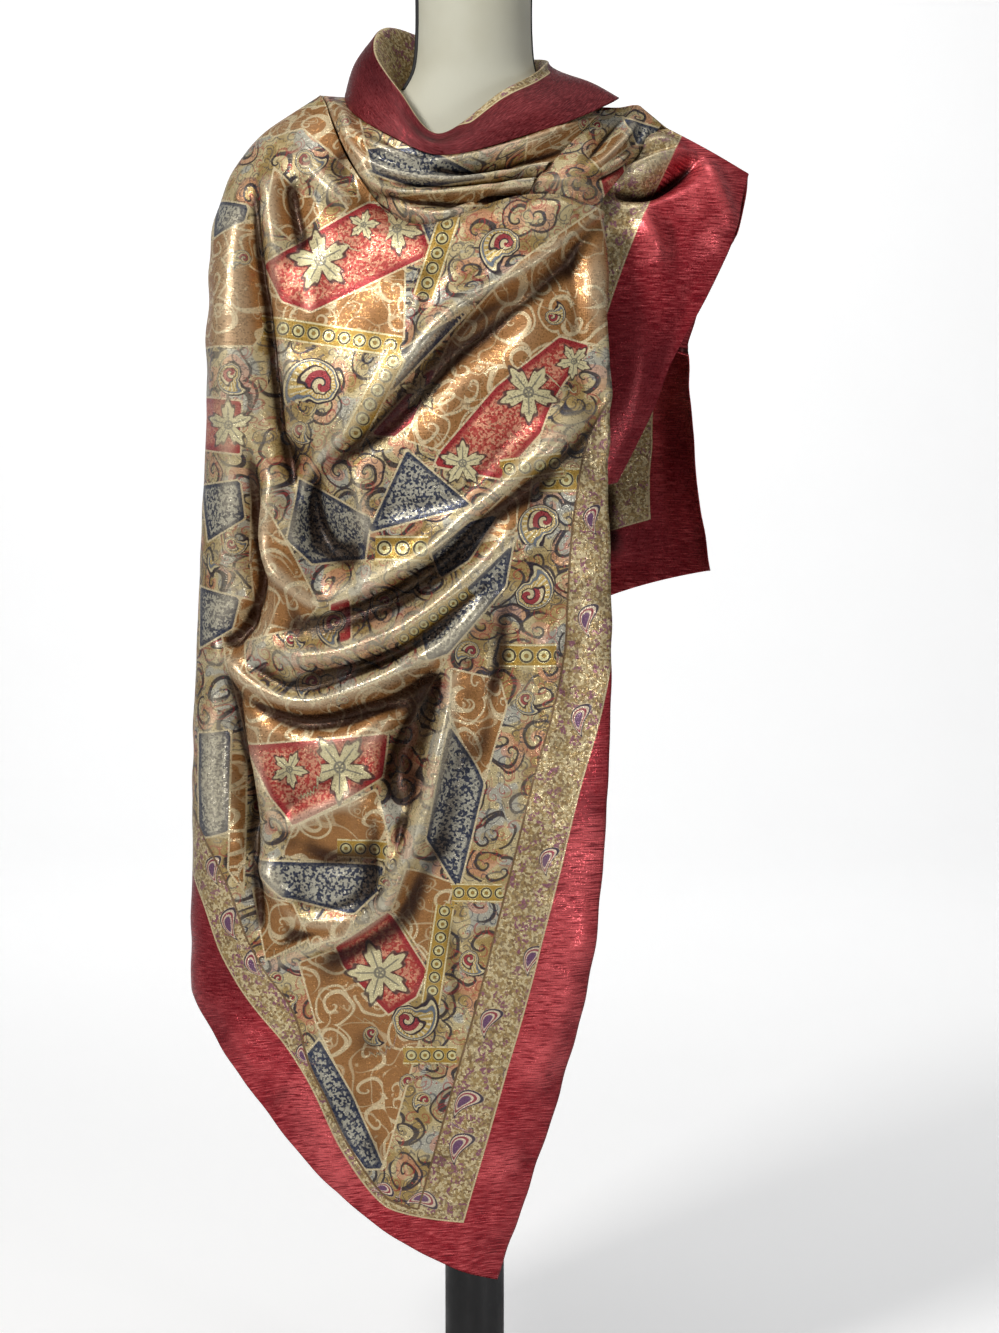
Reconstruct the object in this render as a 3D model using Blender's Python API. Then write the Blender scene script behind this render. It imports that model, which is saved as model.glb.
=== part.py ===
import math
from collections import namedtuple

import bmesh
import bpy
import numpy as np

for old in list(bpy.data.objects):
    bpy.data.objects.remove(old, do_unlink=True)

# Metres, +Z up. The origin is on the floor under the pole, the shawl's front faces -Y and +X is to the right
# of someone who looks at that front. Heights in the tables are above the shawl's datum, DATUM above the floor.
DATUM = 0.04

# Cloth
CLOTH = 0.002  # wall of the cloth
THICKEST = 0.003  # wall where a crease is steep
SEAM = 0.0003  # between two stretches of the cloth, and between the form's parts
SIDE_Y = -0.02  # depth of the left side, where the front stretch turns into the back one
HUG = 0.0008  # between the cloth and the form where it is nearest
LAP = 0.0030  # from the middle of one stretch to the middle of the next where they lie back to back
TUCK = 0.0058  # how far inside the collar's hem the cowl's upper edge lies
DIP = 0.006  # how far below that hem it lies at the left shoulder

# Dress form
NECK_RADIUS = 0.063
NECK_TOP = 1.56
POLE_RADIUS = 0.033
BASE_RADIUS = 0.17
BASE_HEIGHT = 0.022
CAP_HEIGHT = 0.014

# Points across and along each stretch
FRONT_GRID = (27, 55)
BACK_GRID = (22, 24)
COWL_GRID = (27, 12)
GATHER_GRID = (9, 12)
BAND_GRID = (12, 19)
COLLAR_GRID = (34, 9)
TORSO_SIDES = 28
TORSO_RINGS = (10, 14)  # below and above the shoulders
SHOULDERS_FROM = 1.33
NECK_FROM = 1.50

# The front stretch, from its hem up. Each row goes from the free right edge to the left side and sags
# between them; skew moves the lowest place of the sag towards the left side.
FrontRow = namedtuple("FrontRow", "right_x right_z left_x left_z sag skew front_y")
FRONT_ROWS = [
    FrontRow(0.025, 0.156, -0.311, 0.466, 0.056, 1.0, -0.134),
    FrontRow(0.066, 0.280, -0.310, 0.560, 0.058, 1.0, -0.142),
    FrontRow(0.103, 0.402, -0.308, 0.648, 0.056, 1.0, -0.150),
    FrontRow(0.127, 0.520, -0.306, 0.733, 0.053, 1.0, -0.160),
    FrontRow(0.139, 0.640, -0.303, 0.815, 0.050, 1.0, -0.167),
    FrontRow(0.144, 0.760, -0.299, 0.895, 0.045, 1.0, -0.171),
    FrontRow(0.145, 0.880, -0.295, 0.975, 0.040, 1.1, -0.174),
    FrontRow(0.142, 0.990, -0.290, 1.055, 0.040, 1.1, -0.178),
    FrontRow(0.137, 1.095, -0.286, 1.140, 0.045, 1.2, -0.180),
    FrontRow(0.134, 1.185, -0.283, 1.230, 0.055, 1.3, -0.172),
    FrontRow(0.138, 1.245, -0.276, 1.308, 0.070, 1.5, -0.160),
    FrontRow(0.136, 1.285, -0.238, 1.380, 0.085, 1.7, -0.150),
    FrontRow(0.132, 1.308, -0.165, 1.434, 0.098, 2.0, -0.140),
]
EDGE_CURL = 0.026  # how far the free right edge turns back towards the form
CURL_SHARE = 0.2  # of the row's width that turns
TOP_ROLL = 0.014  # how far the top of the front stretch rolls back under the cowl
ROW_WIDE = 0.43  # a typical row's width and depth
ROW_DEEP = 0.15
SQUARE = 3.0  # power of the curve on which a row turns the left side

# The back stretch, from its hem up, from the left side to the free right end
BackRow = namedtuple("BackRow", "left_x left_z right_x right_z right_y rise back_y")
BACK_ROWS = [
    BackRow(-0.311, 0.466, 0.268, 0.916, 0.095, 0.085, 0.135),
    BackRow(-0.308, 0.648, 0.255, 0.990, 0.092, 0.050, 0.140),
    BackRow(-0.303, 0.815, 0.243, 1.080, 0.086, 0.045, 0.143),
    BackRow(-0.295, 0.975, 0.232, 1.160, 0.076, 0.040, 0.140),
    BackRow(-0.286, 1.140, 0.256, 1.225, 0.056, 0.035, 0.132),
    BackRow(-0.276, 1.308, 0.292, 1.300, 0.026, 0.035, 0.122),
    BackRow(-0.165, 1.434, 0.299, 1.352, 0.000, 0.064, 0.104),
]
BACK_TOP_FROM = 0.76  # height from which the back stretch closes in on the collar and the shoulder line

# Where the cloth goes over the right shoulder, from the collar outwards
SHOULDER_LINE = [
    (0.136, -0.004, 1.424),
    (0.158, -0.005, 1.423),
    (0.178, -0.006, 1.427),
    (0.205, -0.005, 1.404),
    (0.250, -0.004, 1.380),
    (0.299, -0.004, 1.353),
]
# The top of the back stretch from the left shoulder to that line, inside the collar
BACK_TOP = [(-0.165, -0.016, 1.435), (-0.120, 0.010, 1.430), (-0.106, 0.040, 1.440), (-0.044, 0.100, 1.436)]
BACK_TOP += [(0.044, 0.103, 1.432), (0.108, 0.056, 1.426)]
GATHER_END_X = 0.205  # where the gather ends and the hanging end begins on the shoulder line

# The end that hangs over the right shoulder, from the shoulder down
BandRow = namedtuple("BandRow", "inner_x inner_y inner_z outer_x outer_y outer_z")
BAND_ROWS = [
    BandRow(0.210, -0.006, 1.401, 0.299, -0.006, 1.352),
    BandRow(0.164, -0.031, 1.381, 0.291, -0.028, 1.326),
    BandRow(0.132, -0.064, 1.340, 0.283, -0.042, 1.296),
    BandRow(0.122, -0.080, 1.296, 0.273, -0.052, 1.264),
    BandRow(0.112, -0.090, 1.220, 0.249, -0.066, 1.214),
    BandRow(0.106, -0.100, 1.140, 0.213, -0.082, 1.146),
    BandRow(0.106, -0.102, 1.070, 0.182, -0.090, 1.075),
    BandRow(0.118, -0.100, 1.012, 0.153, -0.094, 1.018),
]

BAND_BELLY = 0.010  # how far that end bulges between its edges

# The turned-down border round the neck, from the front V to the wearer's right, back and left
CollarRow = namedtuple("CollarRow", "rim_x rim_y rim_z hem_x hem_y hem_z foot_z")
COLLAR_ROWS = [
    CollarRow(-0.036, -0.094, 1.385, -0.026, -0.114, 1.361, 1.372),
    CollarRow(-0.078, -0.076, 1.432, -0.084, -0.100, 1.381, 1.404),
    CollarRow(-0.106, -0.030, 1.480, -0.134, -0.047, 1.418, 1.432),
    CollarRow(-0.094, 0.030, 1.514, -0.128, 0.046, 1.452, 1.440),
    CollarRow(-0.036, 0.080, 1.503, -0.046, 0.114, 1.428, 1.442),
    CollarRow(0.036, 0.082, 1.488, 0.050, 0.118, 1.424, 1.442),
    CollarRow(0.076, 0.036, 1.480, 0.130, 0.070, 1.430, 1.442),
    CollarRow(0.077, -0.010, 1.468, 0.157, -0.026, 1.431, 1.440),
    CollarRow(0.060, -0.052, 1.450, 0.122, -0.072, 1.409, 1.424),
    CollarRow(0.029, -0.080, 1.430, 0.072, -0.100, 1.388, 1.405),
]
RIM_ROLL = 0.007  # half the thickness of the fold along the rim
COWL_LIFT = 0.0026  # of the cowl's lower edge above the top of the front stretch

COWL_BELLY = 0.010  # how far the cowl bulges between its edges
GATHER_FROM = 0.80  # share of the cowl's length at which the gather starts
GATHER_STEP = 0.0012  # from the cowl's end to the gather's start

# The form: half its width, and how far it reaches to the front and back, at each height
TorsoRow = namedtuple("TorsoRow", "z half front back")
TORSO_ROWS = [
    TorsoRow(0.720, 0.136, 0.095, 0.110),
    TorsoRow(0.820, 0.144, 0.106, 0.112),
    TorsoRow(0.910, 0.140, 0.100, 0.100),
    TorsoRow(1.010, 0.118, 0.090, 0.078),
    TorsoRow(1.110, 0.134, 0.112, 0.085),
    TorsoRow(1.200, 0.156, 0.132, 0.092),
    TorsoRow(1.290, 0.172, 0.108, 0.092),
    TorsoRow(1.350, 0.178, 0.086, 0.084),
    TorsoRow(1.385, 0.162, 0.074, 0.076),
    TorsoRow(1.410, 0.124, 0.068, 0.070),
    TorsoRow(1.432, 0.088, 0.065, 0.066),
    TorsoRow(1.460, 0.068, 0.063, 0.063),
    TorsoRow(NECK_FROM, NECK_RADIUS, NECK_RADIUS, NECK_RADIUS),
    TorsoRow(NECK_TOP, NECK_RADIUS, NECK_RADIUS, NECK_RADIUS),
]

# Creases: a walk from start through middle to end, seen from the front (or, for the back, through it).
# height is outwards; left and right are the widths on those sides of the walk.
Crease = namedtuple("Crease", "start middle end height left right")
FRONT_CREASES = [
    Crease((0.120, 1.300), (-0.020, 1.192), (-0.185, 1.032), 0.028, 0.016, 0.055),
    Crease((0.131, 1.286), (0.008, 1.160), (-0.160, 1.015), -0.018, 0.040, 0.014),
    Crease((0.008, 1.207), (-0.070, 1.070), (-0.112, 0.970), 0.014, 0.020, 0.024),
    Crease((0.130, 1.120), (0.030, 0.982), (-0.159, 0.892), 0.030, 0.048, 0.018),
    Crease((-0.159, 0.892), (-0.196, 0.935), (-0.236, 0.980), 0.020, 0.020, 0.018),
    Crease((0.075, 1.010), (-0.020, 0.893), (-0.205, 0.845), 0.020, 0.022, 0.016),
    Crease((-0.010, 0.865), (-0.130, 0.798), (-0.272, 0.848), 0.026, 0.020, 0.016),
    Crease((-0.030, 0.800), (-0.130, 0.762), (-0.235, 0.798), -0.012, 0.040, 0.024),
    Crease((-0.010, 0.850), (-0.045, 0.720), (-0.092, 0.572), 0.026, 0.042, 0.020),
    Crease((-0.050, 0.840), (-0.090, 0.720), (-0.118, 0.620), -0.016, 0.022, 0.030),
    Crease((-0.090, 0.610), (-0.132, 0.548), (-0.230, 0.540), 0.018, 0.026, 0.016),
    Crease((-0.238, 1.330), (-0.242, 0.900), (-0.252, 0.490), -0.020, 0.020, 0.018),
    Crease((0.036, 0.935), (0.025, 0.800), (0.012, 0.680), -0.011, 0.017, 0.017),
    Crease((-0.010, 0.625), (-0.024, 0.510), (-0.042, 0.400), -0.013, 0.018, 0.018),
    Crease((-0.178, 1.404), (-0.136, 1.365), (-0.094, 1.312), 0.011, 0.014, 0.014),
    Crease((-0.228, 1.335), (-0.204, 1.265), (-0.188, 1.190), 0.011, 0.018, 0.018),
    Crease((0.126, 1.306), (0.020, 1.300), (-0.092, 1.304), 0.012, 0.024, 0.018),
    Crease((0.124, 1.290), (0.112, 1.215), (0.096, 1.130), 0.009, 0.014, 0.014),
    Crease((-0.236, 0.975), (-0.222, 1.065), (-0.214, 1.170), 0.012, 0.016, 0.016),
    Crease((-0.205, 0.480), (-0.186, 0.380), (-0.148, 0.252), 0.013, 0.030, 0.030),
    Crease((-0.256, 0.748), (-0.236, 0.690), (-0.186, 0.648), 0.011, 0.016, 0.016),
    Crease((0.100, 0.520), (0.075, 0.380), (0.042, 0.226), 0.006, 0.024, 0.024),
]
COWL_CREASES = [
    Crease((-0.140, 1.424), (-0.030, 1.341), (0.150, 1.384), 0.009, 0.009, 0.009),
    Crease((-0.152, 1.416), (-0.020, 1.325), (0.146, 1.352), 0.009, 0.009, 0.009),
    Crease((-0.110, 1.332), (0.000, 1.314), (0.125, 1.320), -0.009, 0.010, 0.008),
    Crease((0.120, 1.338), (0.148, 1.384), (0.172, 1.426), 0.008, 0.009, 0.009),
    Crease((0.128, 1.326), (0.164, 1.368), (0.200, 1.402), 0.008, 0.009, 0.009),
]
BAND_CREASES = [
    Crease((0.196, 1.352), (0.226, 1.358), (0.262, 1.372), 0.010, 0.014, 0.012),
    Crease((0.176, 1.330), (0.208, 1.334), (0.250, 1.352), -0.012, 0.014, 0.014),
    Crease((0.246, 1.366), (0.262, 1.330), (0.281, 1.300), 0.008, 0.014, 0.014),
    Crease((0.212, 1.344), (0.234, 1.308), (0.262, 1.268), 0.008, 0.014, 0.014),
    Crease((0.228, 1.290), (0.200, 1.190), (0.166, 1.080), 0.006, 0.022, 0.022),
]
BACK_CREASES = [
    Crease((0.200, 1.380), (0.060, 1.200), (-0.200, 1.030), 0.020, 0.024, 0.050),
    Crease((0.180, 1.300), (0.040, 1.090), (-0.180, 0.930), 0.020, 0.040, 0.024),
    Crease((0.240, 1.180), (0.080, 0.960), (-0.150, 0.780), 0.018, 0.036, 0.024),
    Crease((-0.200, 1.340), (-0.236, 0.950), (-0.240, 0.560), -0.018, 0.022, 0.022),
    Crease((-0.120, 1.400), (-0.160, 1.180), (-0.172, 0.960), 0.014, 0.024, 0.024),
    Crease((0.236, 1.300), (0.205, 1.130), (0.222, 0.930), 0.010, 0.022, 0.022),
    Crease((0.160, 1.160), (0.150, 1.030), (0.160, 0.900), -0.010, 0.022, 0.022),
    Crease((-0.030, 0.900), (-0.110, 0.760), (-0.170, 0.600), 0.014, 0.032, 0.026),
    Crease((0.050, 1.400), (0.010, 1.300), (-0.070, 1.220), 0.010, 0.022, 0.022),
]

BURGUNDY = (0.33, 0.03, 0.05)
PATTERNED = (0.45, 0.27, 0.12)
CREAM = (0.72, 0.70, 0.60)
BLACK = (0.012, 0.012, 0.013)


def unit(v):
    return v / np.maximum(np.linalg.norm(v, axis=-1, keepdims=True), 1e-9)


def smooth(x):
    """0 below 0, 1 above 1, and an even turn between them."""
    x = np.clip(x, 0.0, 1.0)
    return x * x * (3.0 - 2.0 * x)


def along(rows, where):
    """The rows' columns on a smooth curve through them; where runs from 0 at the first row to 1 at the last."""
    rows = np.asarray(rows, float)
    place = np.clip(np.asarray(where, float), 0.0, 1.0) * (len(rows) - 1)
    i = np.minimum(place.astype(int), len(rows) - 2)
    f = (place - i)[..., None]
    before, after = rows[np.maximum(i - 1, 0)], rows[np.minimum(i + 2, len(rows) - 1)]
    a, b = rows[i], rows[i + 1]
    slope_a, slope_b = (b - before) / 2, (after - a) / 2
    return (
        (2 * f**3 - 3 * f**2 + 1) * a
        + (f**3 - 2 * f**2 + f) * slope_a
        + (3 * f**2 - 2 * f**3) * b
        + (f**3 - f**2) * slope_b
    )


def evened(points, count):
    """count points an even distance apart on the line through points."""
    points = np.asarray(points, float)
    far = np.concatenate([[0.0], np.cumsum(np.linalg.norm(np.diff(points, axis=0), axis=1))])
    at = np.linspace(0.0, far[-1], count)
    return np.stack([np.interp(at, far, points[:, k]) for k in range(points.shape[1])], axis=1)


def turn_of(shares, wide, deep):
    """(share of the width, share of the depth) along a row that runs flat and then turns the left side."""
    u = 1.0 - np.linspace(1.0, 0.0, 400) ** 2.0
    v = np.maximum(1.0 - u**SQUARE, 0.0) ** (1.0 / SQUARE)
    far = np.concatenate([[0.0], np.cumsum(np.hypot(np.diff(u) * wide, np.diff(v) * deep))])
    at = np.asarray(shares) * far[-1]
    return np.interp(at, far, u), np.interp(at, far, v)


def crease_height(x, z, creases):
    """How far the creases lift the cloth at each (x, z)."""
    lift = np.zeros_like(x)
    steps = np.linspace(0.0, 1.0, 80)
    for c in creases:
        start, middle, end = (np.array(p) for p in (c.start, c.middle, c.end))
        pull = 2.0 * middle - (start + end) / 2.0
        line = (
            np.outer((1 - steps) ** 2, start)
            + np.outer(2 * steps * (1 - steps), pull)
            + np.outer(steps**2, end)
        )
        gap_x, gap_z = x[..., None] - line[:, 0], z[..., None] - line[:, 1]
        nearest = np.argmin(gap_x**2 + gap_z**2, axis=-1)
        run = unit(np.gradient(line, axis=0))[nearest]
        gap_x = np.take_along_axis(gap_x, nearest[..., None], -1)[..., 0]
        gap_z = np.take_along_axis(gap_z, nearest[..., None], -1)[..., 0]
        side = run[..., 0] * gap_z - run[..., 1] * gap_x
        past = run[..., 0] * gap_x + run[..., 1] * gap_z
        width = np.where(side > 0, c.left, c.right)
        share = np.hypot(side / width, past / max(c.left, c.right))
        fade = np.sin(math.pi * np.clip(steps[nearest], 0.02, 0.98)) ** 0.5
        lift += c.height * fade * np.exp(-(share**2))
    return lift


def normals_of(mid, towards):
    """Unit normals of a grid of points, on the side of it that towards gives."""
    across, up = np.gradient(mid, axis=1), np.gradient(mid, axis=0)
    normal = unit(np.cross(across, up))
    flip = np.sign((normal * towards).sum(-1, keepdims=True))
    return normal * np.where(flip == 0, 1.0, flip)


def thickness_of(mid, lift):
    """The wall along the normal, thicker where the crease is steep."""
    across = np.linalg.norm(np.gradient(mid, axis=1), axis=-1)
    up = np.linalg.norm(np.gradient(mid, axis=0), axis=-1)
    steep = np.hypot(np.gradient(lift, axis=1) / across, np.gradient(lift, axis=0) / up)
    return np.minimum(CLOTH * np.sqrt(1.0 + steep**2), THICKEST)


def material(name, colour, rough, metallic=0.0):
    made = bpy.data.materials.new(name)
    made.use_nodes = True
    shader = made.node_tree.nodes["Principled BSDF"]
    shader.inputs["Base Color"].default_value = (*colour, 1.0)
    shader.inputs["Roughness"].default_value = rough
    shader.inputs["Metallic"].default_value = metallic
    made.diffuse_color = (*colour, 1.0)
    return made


def finish(bm, name, made, raised=DATUM):
    bmesh.ops.recalc_face_normals(bm, faces=bm.faces)
    bmesh.ops.translate(bm, verts=bm.verts, vec=(0.0, 0.0, raised))
    mesh = bpy.data.meshes.new(name)
    bm.to_mesh(mesh)
    bm.free()
    mesh.materials.append(made)
    mesh.shade_smooth()
    obj = bpy.data.objects.new(name, mesh)
    bpy.context.scene.collection.objects.link(obj)
    return obj


def skin(bm, rings, closed, lean=-1):
    """Bridges each ring of points to the next, with the cells' diagonals rising (1) or falling (-1) along a ring."""
    made = [[bm.verts.new(p) for p in ring] for ring in rings]
    for low, high in zip(made, made[1:]):
        last = len(low) if closed else len(low) - 1
        for i in range(last):
            j = (i + 1) % len(low)
            if lean < 0:
                bm.faces.new((low[i], low[j], high[i]))
                bm.faces.new((low[j], high[j], high[i]))
            else:
                bm.faces.new((low[i], low[j], high[j]))
                bm.faces.new((low[i], high[j], high[i]))
    return made


def cloth_wall(name, mid, normal, lift, made, ring=False, lean=-1):
    """A closed wall of cloth on a grid of points; ring joins its last column to its first."""
    half = (thickness_of(mid, lift) / 2.0)[..., None]
    inner = mid + normal * (lift[..., None] - half)
    clear = off_the_form(inner, HUG) - inner
    outer = inner + normal * 2.0 * half + clear
    inner = inner + clear
    bm = bmesh.new()
    out_rows, in_rows = skin(bm, outer, ring, lean), skin(bm, inner, ring, lean)
    for k in (0, -1):
        last = len(out_rows[k]) if ring else len(out_rows[k]) - 1
        for i in range(last):
            j = (i + 1) % len(out_rows[k])
            bm.faces.new((out_rows[k][i], out_rows[k][j], in_rows[k][j], in_rows[k][i]))
    if not ring:
        for (out_a, out_b), (in_a, in_b) in zip(
            zip(out_rows, out_rows[1:]), zip(in_rows, in_rows[1:])
        ):
            for k in (0, -1):
                bm.faces.new((out_a[k], out_b[k], in_b[k], in_a[k]))
    return finish(bm, name, made)


def torso_rings():
    """Height, half width, and reach to the front and back, of each ring of the form."""
    heights = [row.z for row in TORSO_ROWS]
    low = np.linspace(heights[0], SHOULDERS_FROM, TORSO_RINGS[0])[:-1]
    high = np.linspace(SHOULDERS_FROM, NECK_FROM, TORSO_RINGS[1])
    at = np.concatenate([low, high, [NECK_TOP]])
    place = np.interp(at, heights, np.linspace(0.0, 1.0, len(heights)))
    rings = along(TORSO_ROWS, place)
    rings[:, 0] = at
    return rings


def torso_sizes(z):
    """Half the form's width, and its reach to the front and back, at each height of its faceted side."""
    rings = torso_rings()
    return [np.interp(z, rings[:, 0], rings[:, k]) for k in (1, 2, 3)]


def torso_reach(points):
    """How far the form reaches from its axis towards each point, at that point's height."""
    half, front, back = torso_sizes(points[..., 2])
    far = np.maximum(np.hypot(points[..., 0], points[..., 1]), 1e-6)
    deep = np.where(points[..., 1] > 0, back, front)
    return 1.0 / np.hypot(points[..., 0] / far / half, points[..., 1] / far / deep)


def off_the_form(points, gap):
    """The points, with those nearer to the form than gap moved straight out from its axis."""
    far = np.maximum(np.hypot(points[..., 0], points[..., 1]), 1e-6)
    step = np.array([0.0, 0.0, 0.002])
    lean = (torso_reach(points - step) - torso_reach(points + step)) / (2.0 * step[2])
    short = np.maximum(torso_reach(points) + gap * np.hypot(1.0, lean) - far, 0.0)
    moved = points.copy()
    moved[..., :2] *= (1.0 + short / far)[..., None]
    return moved


def front_surface(shares, heights):
    """The front stretch without creases: shares across from its right edge, heights up from its hem."""
    u, v = turn_of(shares, ROW_WIDE, ROW_DEEP)
    rows = along(FRONT_ROWS, heights)[:, None, :]
    right_x, right_z, left_x, left_z, sag, skew, front_y = np.moveaxis(rows, -1, 0)
    x = right_x + (left_x - right_x) * u
    z = right_z + (left_z - right_z) * u - sag * np.sin(math.pi * u**skew)
    curl = EDGE_CURL * (1.0 - np.clip(u / CURL_SHARE, 0.0, 1.0)) ** 2
    y = SIDE_Y + (front_y - SIDE_Y) * v + curl
    return np.stack([x, y, z], axis=-1)


def front_cloth(shares, heights):
    mid = front_surface(shares, heights)
    normal = normals_of(mid, np.array([-0.5, -1.0, 0.2]))
    near_side = 1.0 - smooth((shares - 0.90) / 0.09)
    lift = crease_height(mid[..., 0], mid[..., 2], FRONT_CREASES) * near_side
    lift -= (TOP_ROLL * smooth((heights - 0.94) / 0.06))[:, None] * near_side
    return mid, normal, lift


def shoulder_line(count, side):
    """Points on the line over the right shoulder, on its front (-1) or back (1) side."""
    line = evened(SHOULDER_LINE, count)
    line[:, 1] += side * LAP / 2.0
    return line


def back_surface(shares, heights):
    """The back stretch without creases: shares across from the left side, heights up from its hem."""
    rows = along(BACK_ROWS, heights)[:, None, :]
    left_x, left_z, right_x, right_z, right_y, rise, back_y = np.moveaxis(rows, -1, 0)
    angle = math.pi * shares
    u = (1.0 - np.sign(np.cos(angle)) * np.abs(np.cos(angle)) ** 0.85) / 2.0
    x = left_x + (right_x - left_x) * u
    z = left_z + (right_z - left_z) * u + rise * np.sin(math.pi * u**1.25)
    ends = SIDE_Y + (right_y - SIDE_Y) * u
    y = ends + (back_y - ends) * np.abs(np.sin(angle)) ** 0.75
    mid = np.stack([x, y, z], axis=-1)
    top = np.concatenate([along(BACK_TOP, np.linspace(0.0, 1.0, 20)), shoulder_line(12, 1.0)])
    top = evened(top, len(shares))
    near = smooth((heights - BACK_TOP_FROM) / (1.0 - BACK_TOP_FROM))[:, None, None]
    return mid * (1.0 - near) + top[None] * near


def collar_sections():
    """Six points for each row of the collar, from its foot over its rim to its hem."""
    sections = []
    for row in COLLAR_ROWS:
        rim = np.array([row.rim_x, row.rim_y, row.rim_z])
        hem = np.array([row.hem_x, row.hem_y, row.hem_z])
        away = unit(np.array([row.rim_x, row.rim_y, 0.0]))
        foot = np.array([row.rim_x, row.rim_y, row.foot_z])
        foot[:2] = away[:2] * (torso_reach(foot) + HUG + CLOTH / 2.0)
        inside = rim - away * RIM_ROLL - np.array([0.0, 0.0, 1.6 * RIM_ROLL])
        outside = rim + away * RIM_ROLL - np.array([0.0, 0.0, RIM_ROLL])
        belly = (outside + hem) / 2.0 + away * 0.004 + np.array([0.0, 0.0, 0.003])
        sections.append([foot, inside, rim, outside, belly, hem])
    return np.array(sections)


def collar_surface(turns, heights):
    """turns round the neck from the front V, 0 to 1 and closed; heights from the foot over the rim to the hem."""
    sections = collar_sections()
    count = len(sections)
    padded = sections[np.arange(-2, count + 3) % count].reshape(count + 5, -1)
    where = (2.0 + np.asarray(turns) * count) / (count + 4)
    columns = along(padded, where).reshape(len(turns), 6, 3)
    grid = np.stack([along(column, heights) for column in columns], axis=1)
    return off_the_form(grid, HUG + CLOTH / 2.0)


def cowl_surface(shares, heights):
    """The cowl and the gather: heights 0 at the front stretch's top, 1 at the collar's hem."""
    edge_mid, edge_normal, edge_lift = front_cloth(np.linspace(1.0, 0.0, 60), np.array([0.98, 1.0]))
    low = evened((edge_mid + edge_normal * edge_lift[..., None])[1], 60)
    turns = np.concatenate([np.linspace(0.24, 0.0, 16), np.linspace(1.0, 0.80, 16)[1:]])
    collar = collar_surface(turns, np.linspace(0.0, 1.0, 12))
    out = normals_of(collar, unit(collar * np.array([1.0, 1.0, 0.0])) + np.array([0.0, 0.0, 0.3]))[-1]
    line = shoulder_line(60, -1.0)
    line = line[(line[:, 0] > SHOULDER_LINE[2][0]) & (line[:, 0] < GATHER_END_X)]
    edge = collar[-1] - out * TUCK
    edge[:, 2] -= DIP * smooth((-0.095 - edge[:, 0]) / 0.03)
    high = evened(np.concatenate([edge, line]), 60)
    steps = np.linspace(0.0, 1.0, 60)
    low = np.stack([np.interp(shares, steps, low[:, k]) for k in range(3)], axis=1)
    high = np.stack([np.interp(shares, steps, high[:, k]) for k in range(3)], axis=1)
    h = np.asarray(heights)[:, None, None]
    mid = low[None] * (1 - h) + high[None] * h
    belly = COWL_BELLY * np.sin(math.pi * np.asarray(heights))[:, None] * np.sin(math.pi * shares)[None]
    mid[..., 1] -= belly
    return mid


def cowl_cloth(shares, heights):
    mid = cowl_surface(shares, heights)
    mid[..., 2] += COWL_LIFT * (1.0 - np.asarray(heights)[:, None])
    normal = normals_of(mid, np.array([0.0, -1.0, 0.4]))
    ends = np.sin(math.pi * np.clip(heights, 0.0, 1.0)) ** 0.6
    sides = smooth(shares / 0.08) * smooth((1.0 - shares) / 0.05)
    lift = crease_height(mid[..., 0], mid[..., 2], COWL_CREASES) * ends[:, None] * sides[None]
    return mid, normal, lift


def build_front(made):
    shares = np.linspace(0.0, 1.0, FRONT_GRID[0])
    mid, normal, lift = front_cloth(shares, np.linspace(0.0, 1.0, FRONT_GRID[1]))
    mid[:, -1, 1] -= SEAM / 2.0
    return cloth_wall("front_panel", mid, normal, lift, made)


def build_back(made):
    shares = np.linspace(0.0, 1.0, BACK_GRID[0])
    mid = back_surface(shares, np.linspace(0.0, 1.0, BACK_GRID[1]))
    normal = normals_of(mid, np.array([0.0, 1.0, 0.2]))
    side = smooth(shares / 0.12)
    lift = crease_height(mid[..., 0], mid[..., 2], BACK_CREASES) * side[None]
    lift *= smooth(np.linspace(1.0, 0.0, BACK_GRID[1]) / 0.12)[:, None]
    mid[:, 0, 1] += SEAM
    return cloth_wall("back_panel", mid, normal, lift, made, lean=1)


def build_cowl(made):
    heights = np.linspace(0.0, 1.0, COWL_GRID[1])
    mid, normal, lift = cowl_cloth(np.linspace(0.0, GATHER_FROM, COWL_GRID[0]), heights)
    return cloth_wall("cowl", mid, normal, lift, made)


def build_gather(made):
    heights = np.linspace(0.0, 1.0, GATHER_GRID[1])
    shares = np.linspace(GATHER_FROM, 1.0, GATHER_GRID[0])
    mid, normal, lift = cowl_cloth(shares, heights)
    mid[:, 0, 0] += GATHER_STEP
    return cloth_wall("shoulder_gather", mid, normal, lift, made)


def build_band(made):
    rows = along(BAND_ROWS, np.linspace(0.0, 1.0, BAND_GRID[1]))
    across = np.linspace(0.0, 1.0, BAND_GRID[0])[None, :, None]
    mid = rows[:, None, :3] * (1 - across) + rows[:, None, 3:] * across
    mid[..., 1] -= BAND_BELLY * np.sin(math.pi * across[..., 0])
    normal = normals_of(mid, np.array([0.3, -1.0, 0.4]))
    top = smooth(np.linspace(0.0, 1.0, BAND_GRID[1]) / 0.12)[:, None]
    lift = crease_height(mid[..., 0], mid[..., 2], BAND_CREASES) * top
    return cloth_wall("shoulder_band", mid, normal, lift, made)


def build_collar(made):
    turns = np.linspace(0.0, 1.0, COLLAR_GRID[0] + 1)[:-1]
    mid = collar_surface(turns, np.linspace(0.0, 1.0, COLLAR_GRID[1]))
    wrapped = np.concatenate([mid[:, -1:], mid, mid[:, :1]], axis=1)
    across, up = np.gradient(wrapped, axis=1), np.gradient(wrapped, axis=0)
    normal = unit(np.cross(up, across))[:, 1:-1]
    return cloth_wall("collar", mid, normal, np.zeros(mid.shape[:2]), made, ring=True)


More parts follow.
